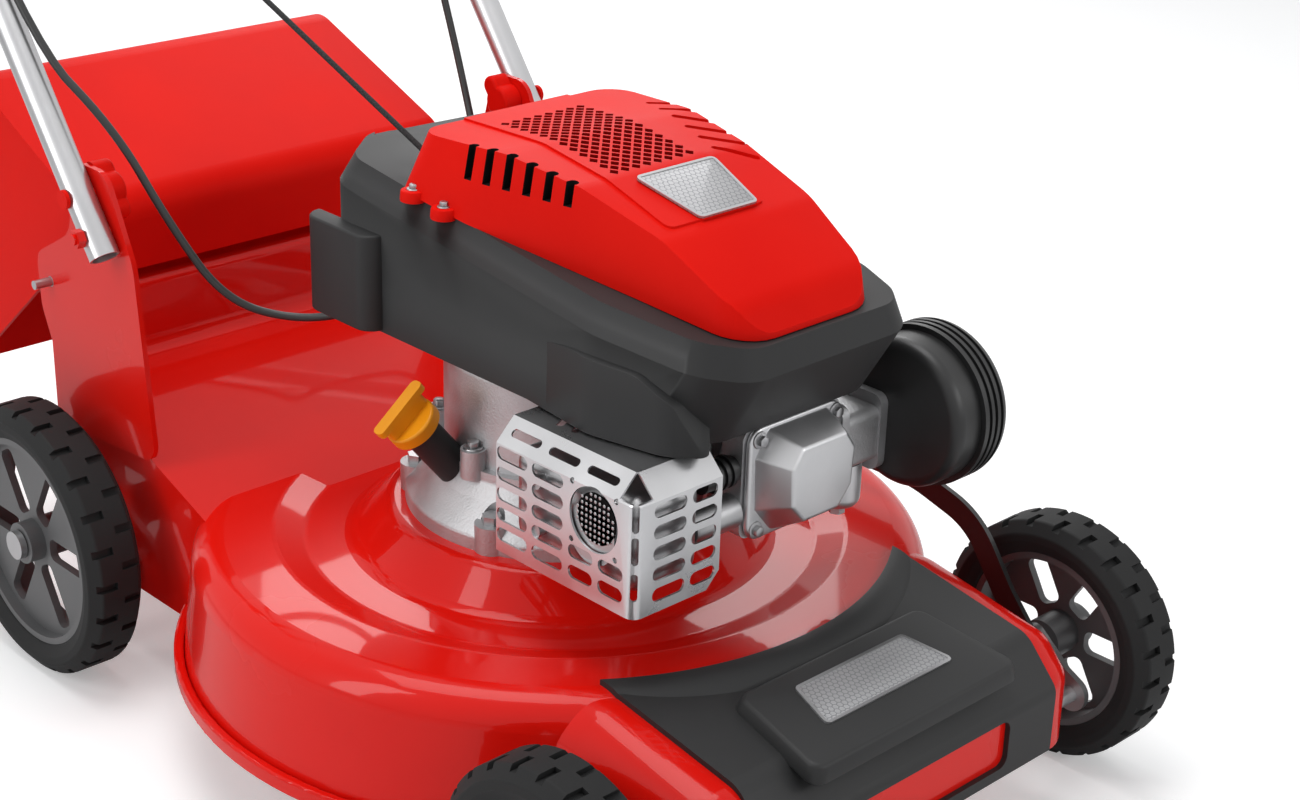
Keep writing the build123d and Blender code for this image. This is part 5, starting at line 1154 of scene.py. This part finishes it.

# %% [markdown]
# ## Cables and the starter rope
# Two sheathed cables run from the engine up the handle, and the starter rope runs to its guide. Each
# follows the points of its route on one smooth spline.

# %% Draw a line
def line(name, points, diameter, material, node):
    curve = bpy.data.curves.new(name, "CURVE")
    curve.dimensions = "3D"
    curve.resolution_u = 8
    curve.bevel_depth = diameter / 2 / MM_PER_M
    curve.bevel_resolution = 4
    curve.use_fill_caps = True
    spline = curve.splines.new("NURBS")
    spline.points.add(len(points) - 1)
    for point, spot in zip(spline.points, points):
        point.co = (*place(*spot), 1)
    spline.order_u = 3
    spline.use_endpoint_u = True
    drawn = bpy.data.objects.new(f"{name}_route", curve)
    scene.collection.objects.link(drawn)
    bpy.context.view_layer.update()
    graph = bpy.context.evaluated_depsgraph_get()
    mesh = bpy.data.meshes.new_from_object(drawn.evaluated_get(graph))
    bpy.data.objects.remove(drawn)
    mesh.materials.clear()
    mesh.materials.append(material)
    mesh.shade_smooth()
    made = bpy.data.objects.new(name, mesh)
    scene.collection.objects.link(made)
    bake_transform(made)
    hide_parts(node)
    print(name, len(mesh.polygons), "faces")


# %% [markdown]
# The cables lie on the front of the handle tubes. A place on a tube is given by its side, the way along
# the tube and the lift of the cable's middle above the middle of the tube.

# %% Places on the handle tubes
TUBE_DIR, UPPER_DIR = Vector((0, 0.5962, 0.8028)), Vector((0, 0.866, 0.5))
TUBE_FRONT, UPPER_FRONT = Vector((0, -0.8028, 0.5962)), Vector((0, -0.5, 0.866))
TUBE_FOOT, UPPER_BEND = Vector((0, 254, 335)), Vector((0, 632, 844))
TUBE_X, UPPER_X, CABLE_LIFT = 209, 232, 14.4
CABLE_DIAMETER, ROPE_DIAMETER = 6, 4


def on_tube(side, along, lift=CABLE_LIFT):
    spot = TUBE_FOOT + TUBE_DIR * along + lift * TUBE_FRONT
    return (side * TUBE_X, spot.y, spot.z)


def on_upper(side, along, lift=CABLE_LIFT):
    spot = UPPER_BEND + UPPER_DIR * along + lift * UPPER_FRONT
    return (side * UPPER_X, spot.y, spot.z)


# %% Draw the cables and the rope
brake_points = [
    (-58, 112, 322),
    (-66, 142, 293),
    (-96, 184, 280),
    (-136, 216, 296),
    (-160, 246, 352),
    (-178, 282, 418),
    on_tube(-1, 165),
    on_tube(-1, 550),
    on_upper(-1, -30, 17.4),
    on_upper(-1, 24),
    on_upper(-1, 94),
    (-229, *on_upper(-1, 124, 16.4)[1:]),
]
throttle_points = [
    (56, 112, 322),
    (66, 146, 293),
    (100, 196, 284),
    (142, 252, 298),
    (174, 306, 342),
    (184, 348, 424),
    (186, 384, 506),
    (192, *on_tube(1, 268, 17)[1:]),
    on_tube(1, 330),
    on_tube(1, 550),
    on_upper(1, -34, 17.4),
    on_upper(1, 6, 16.4),
    on_upper(1, 34, 16.4),
]
for name, points, node in (
    ("brake_line", brake_points, "brake_cable"),
    ("throttle_line", throttle_points, "throttle_cable"),
):
    line(name, points, CABLE_DIAMETER, SHEATH, node)
rope_points = [
    (-23.8, -11.4, 422.6),
    (-60, 64, 422),
    (-64.4, 84.2, 434.1),
    (-155.6, 503.3, 685.8),
    (-160, 523.5, 697.9),
    (-160, 529.5, 701.5),
]
line(
    "rope_line",
    rope_points,
    ROPE_DIAMETER,
    ROPE_BRAID,
    "starter_rope",
)
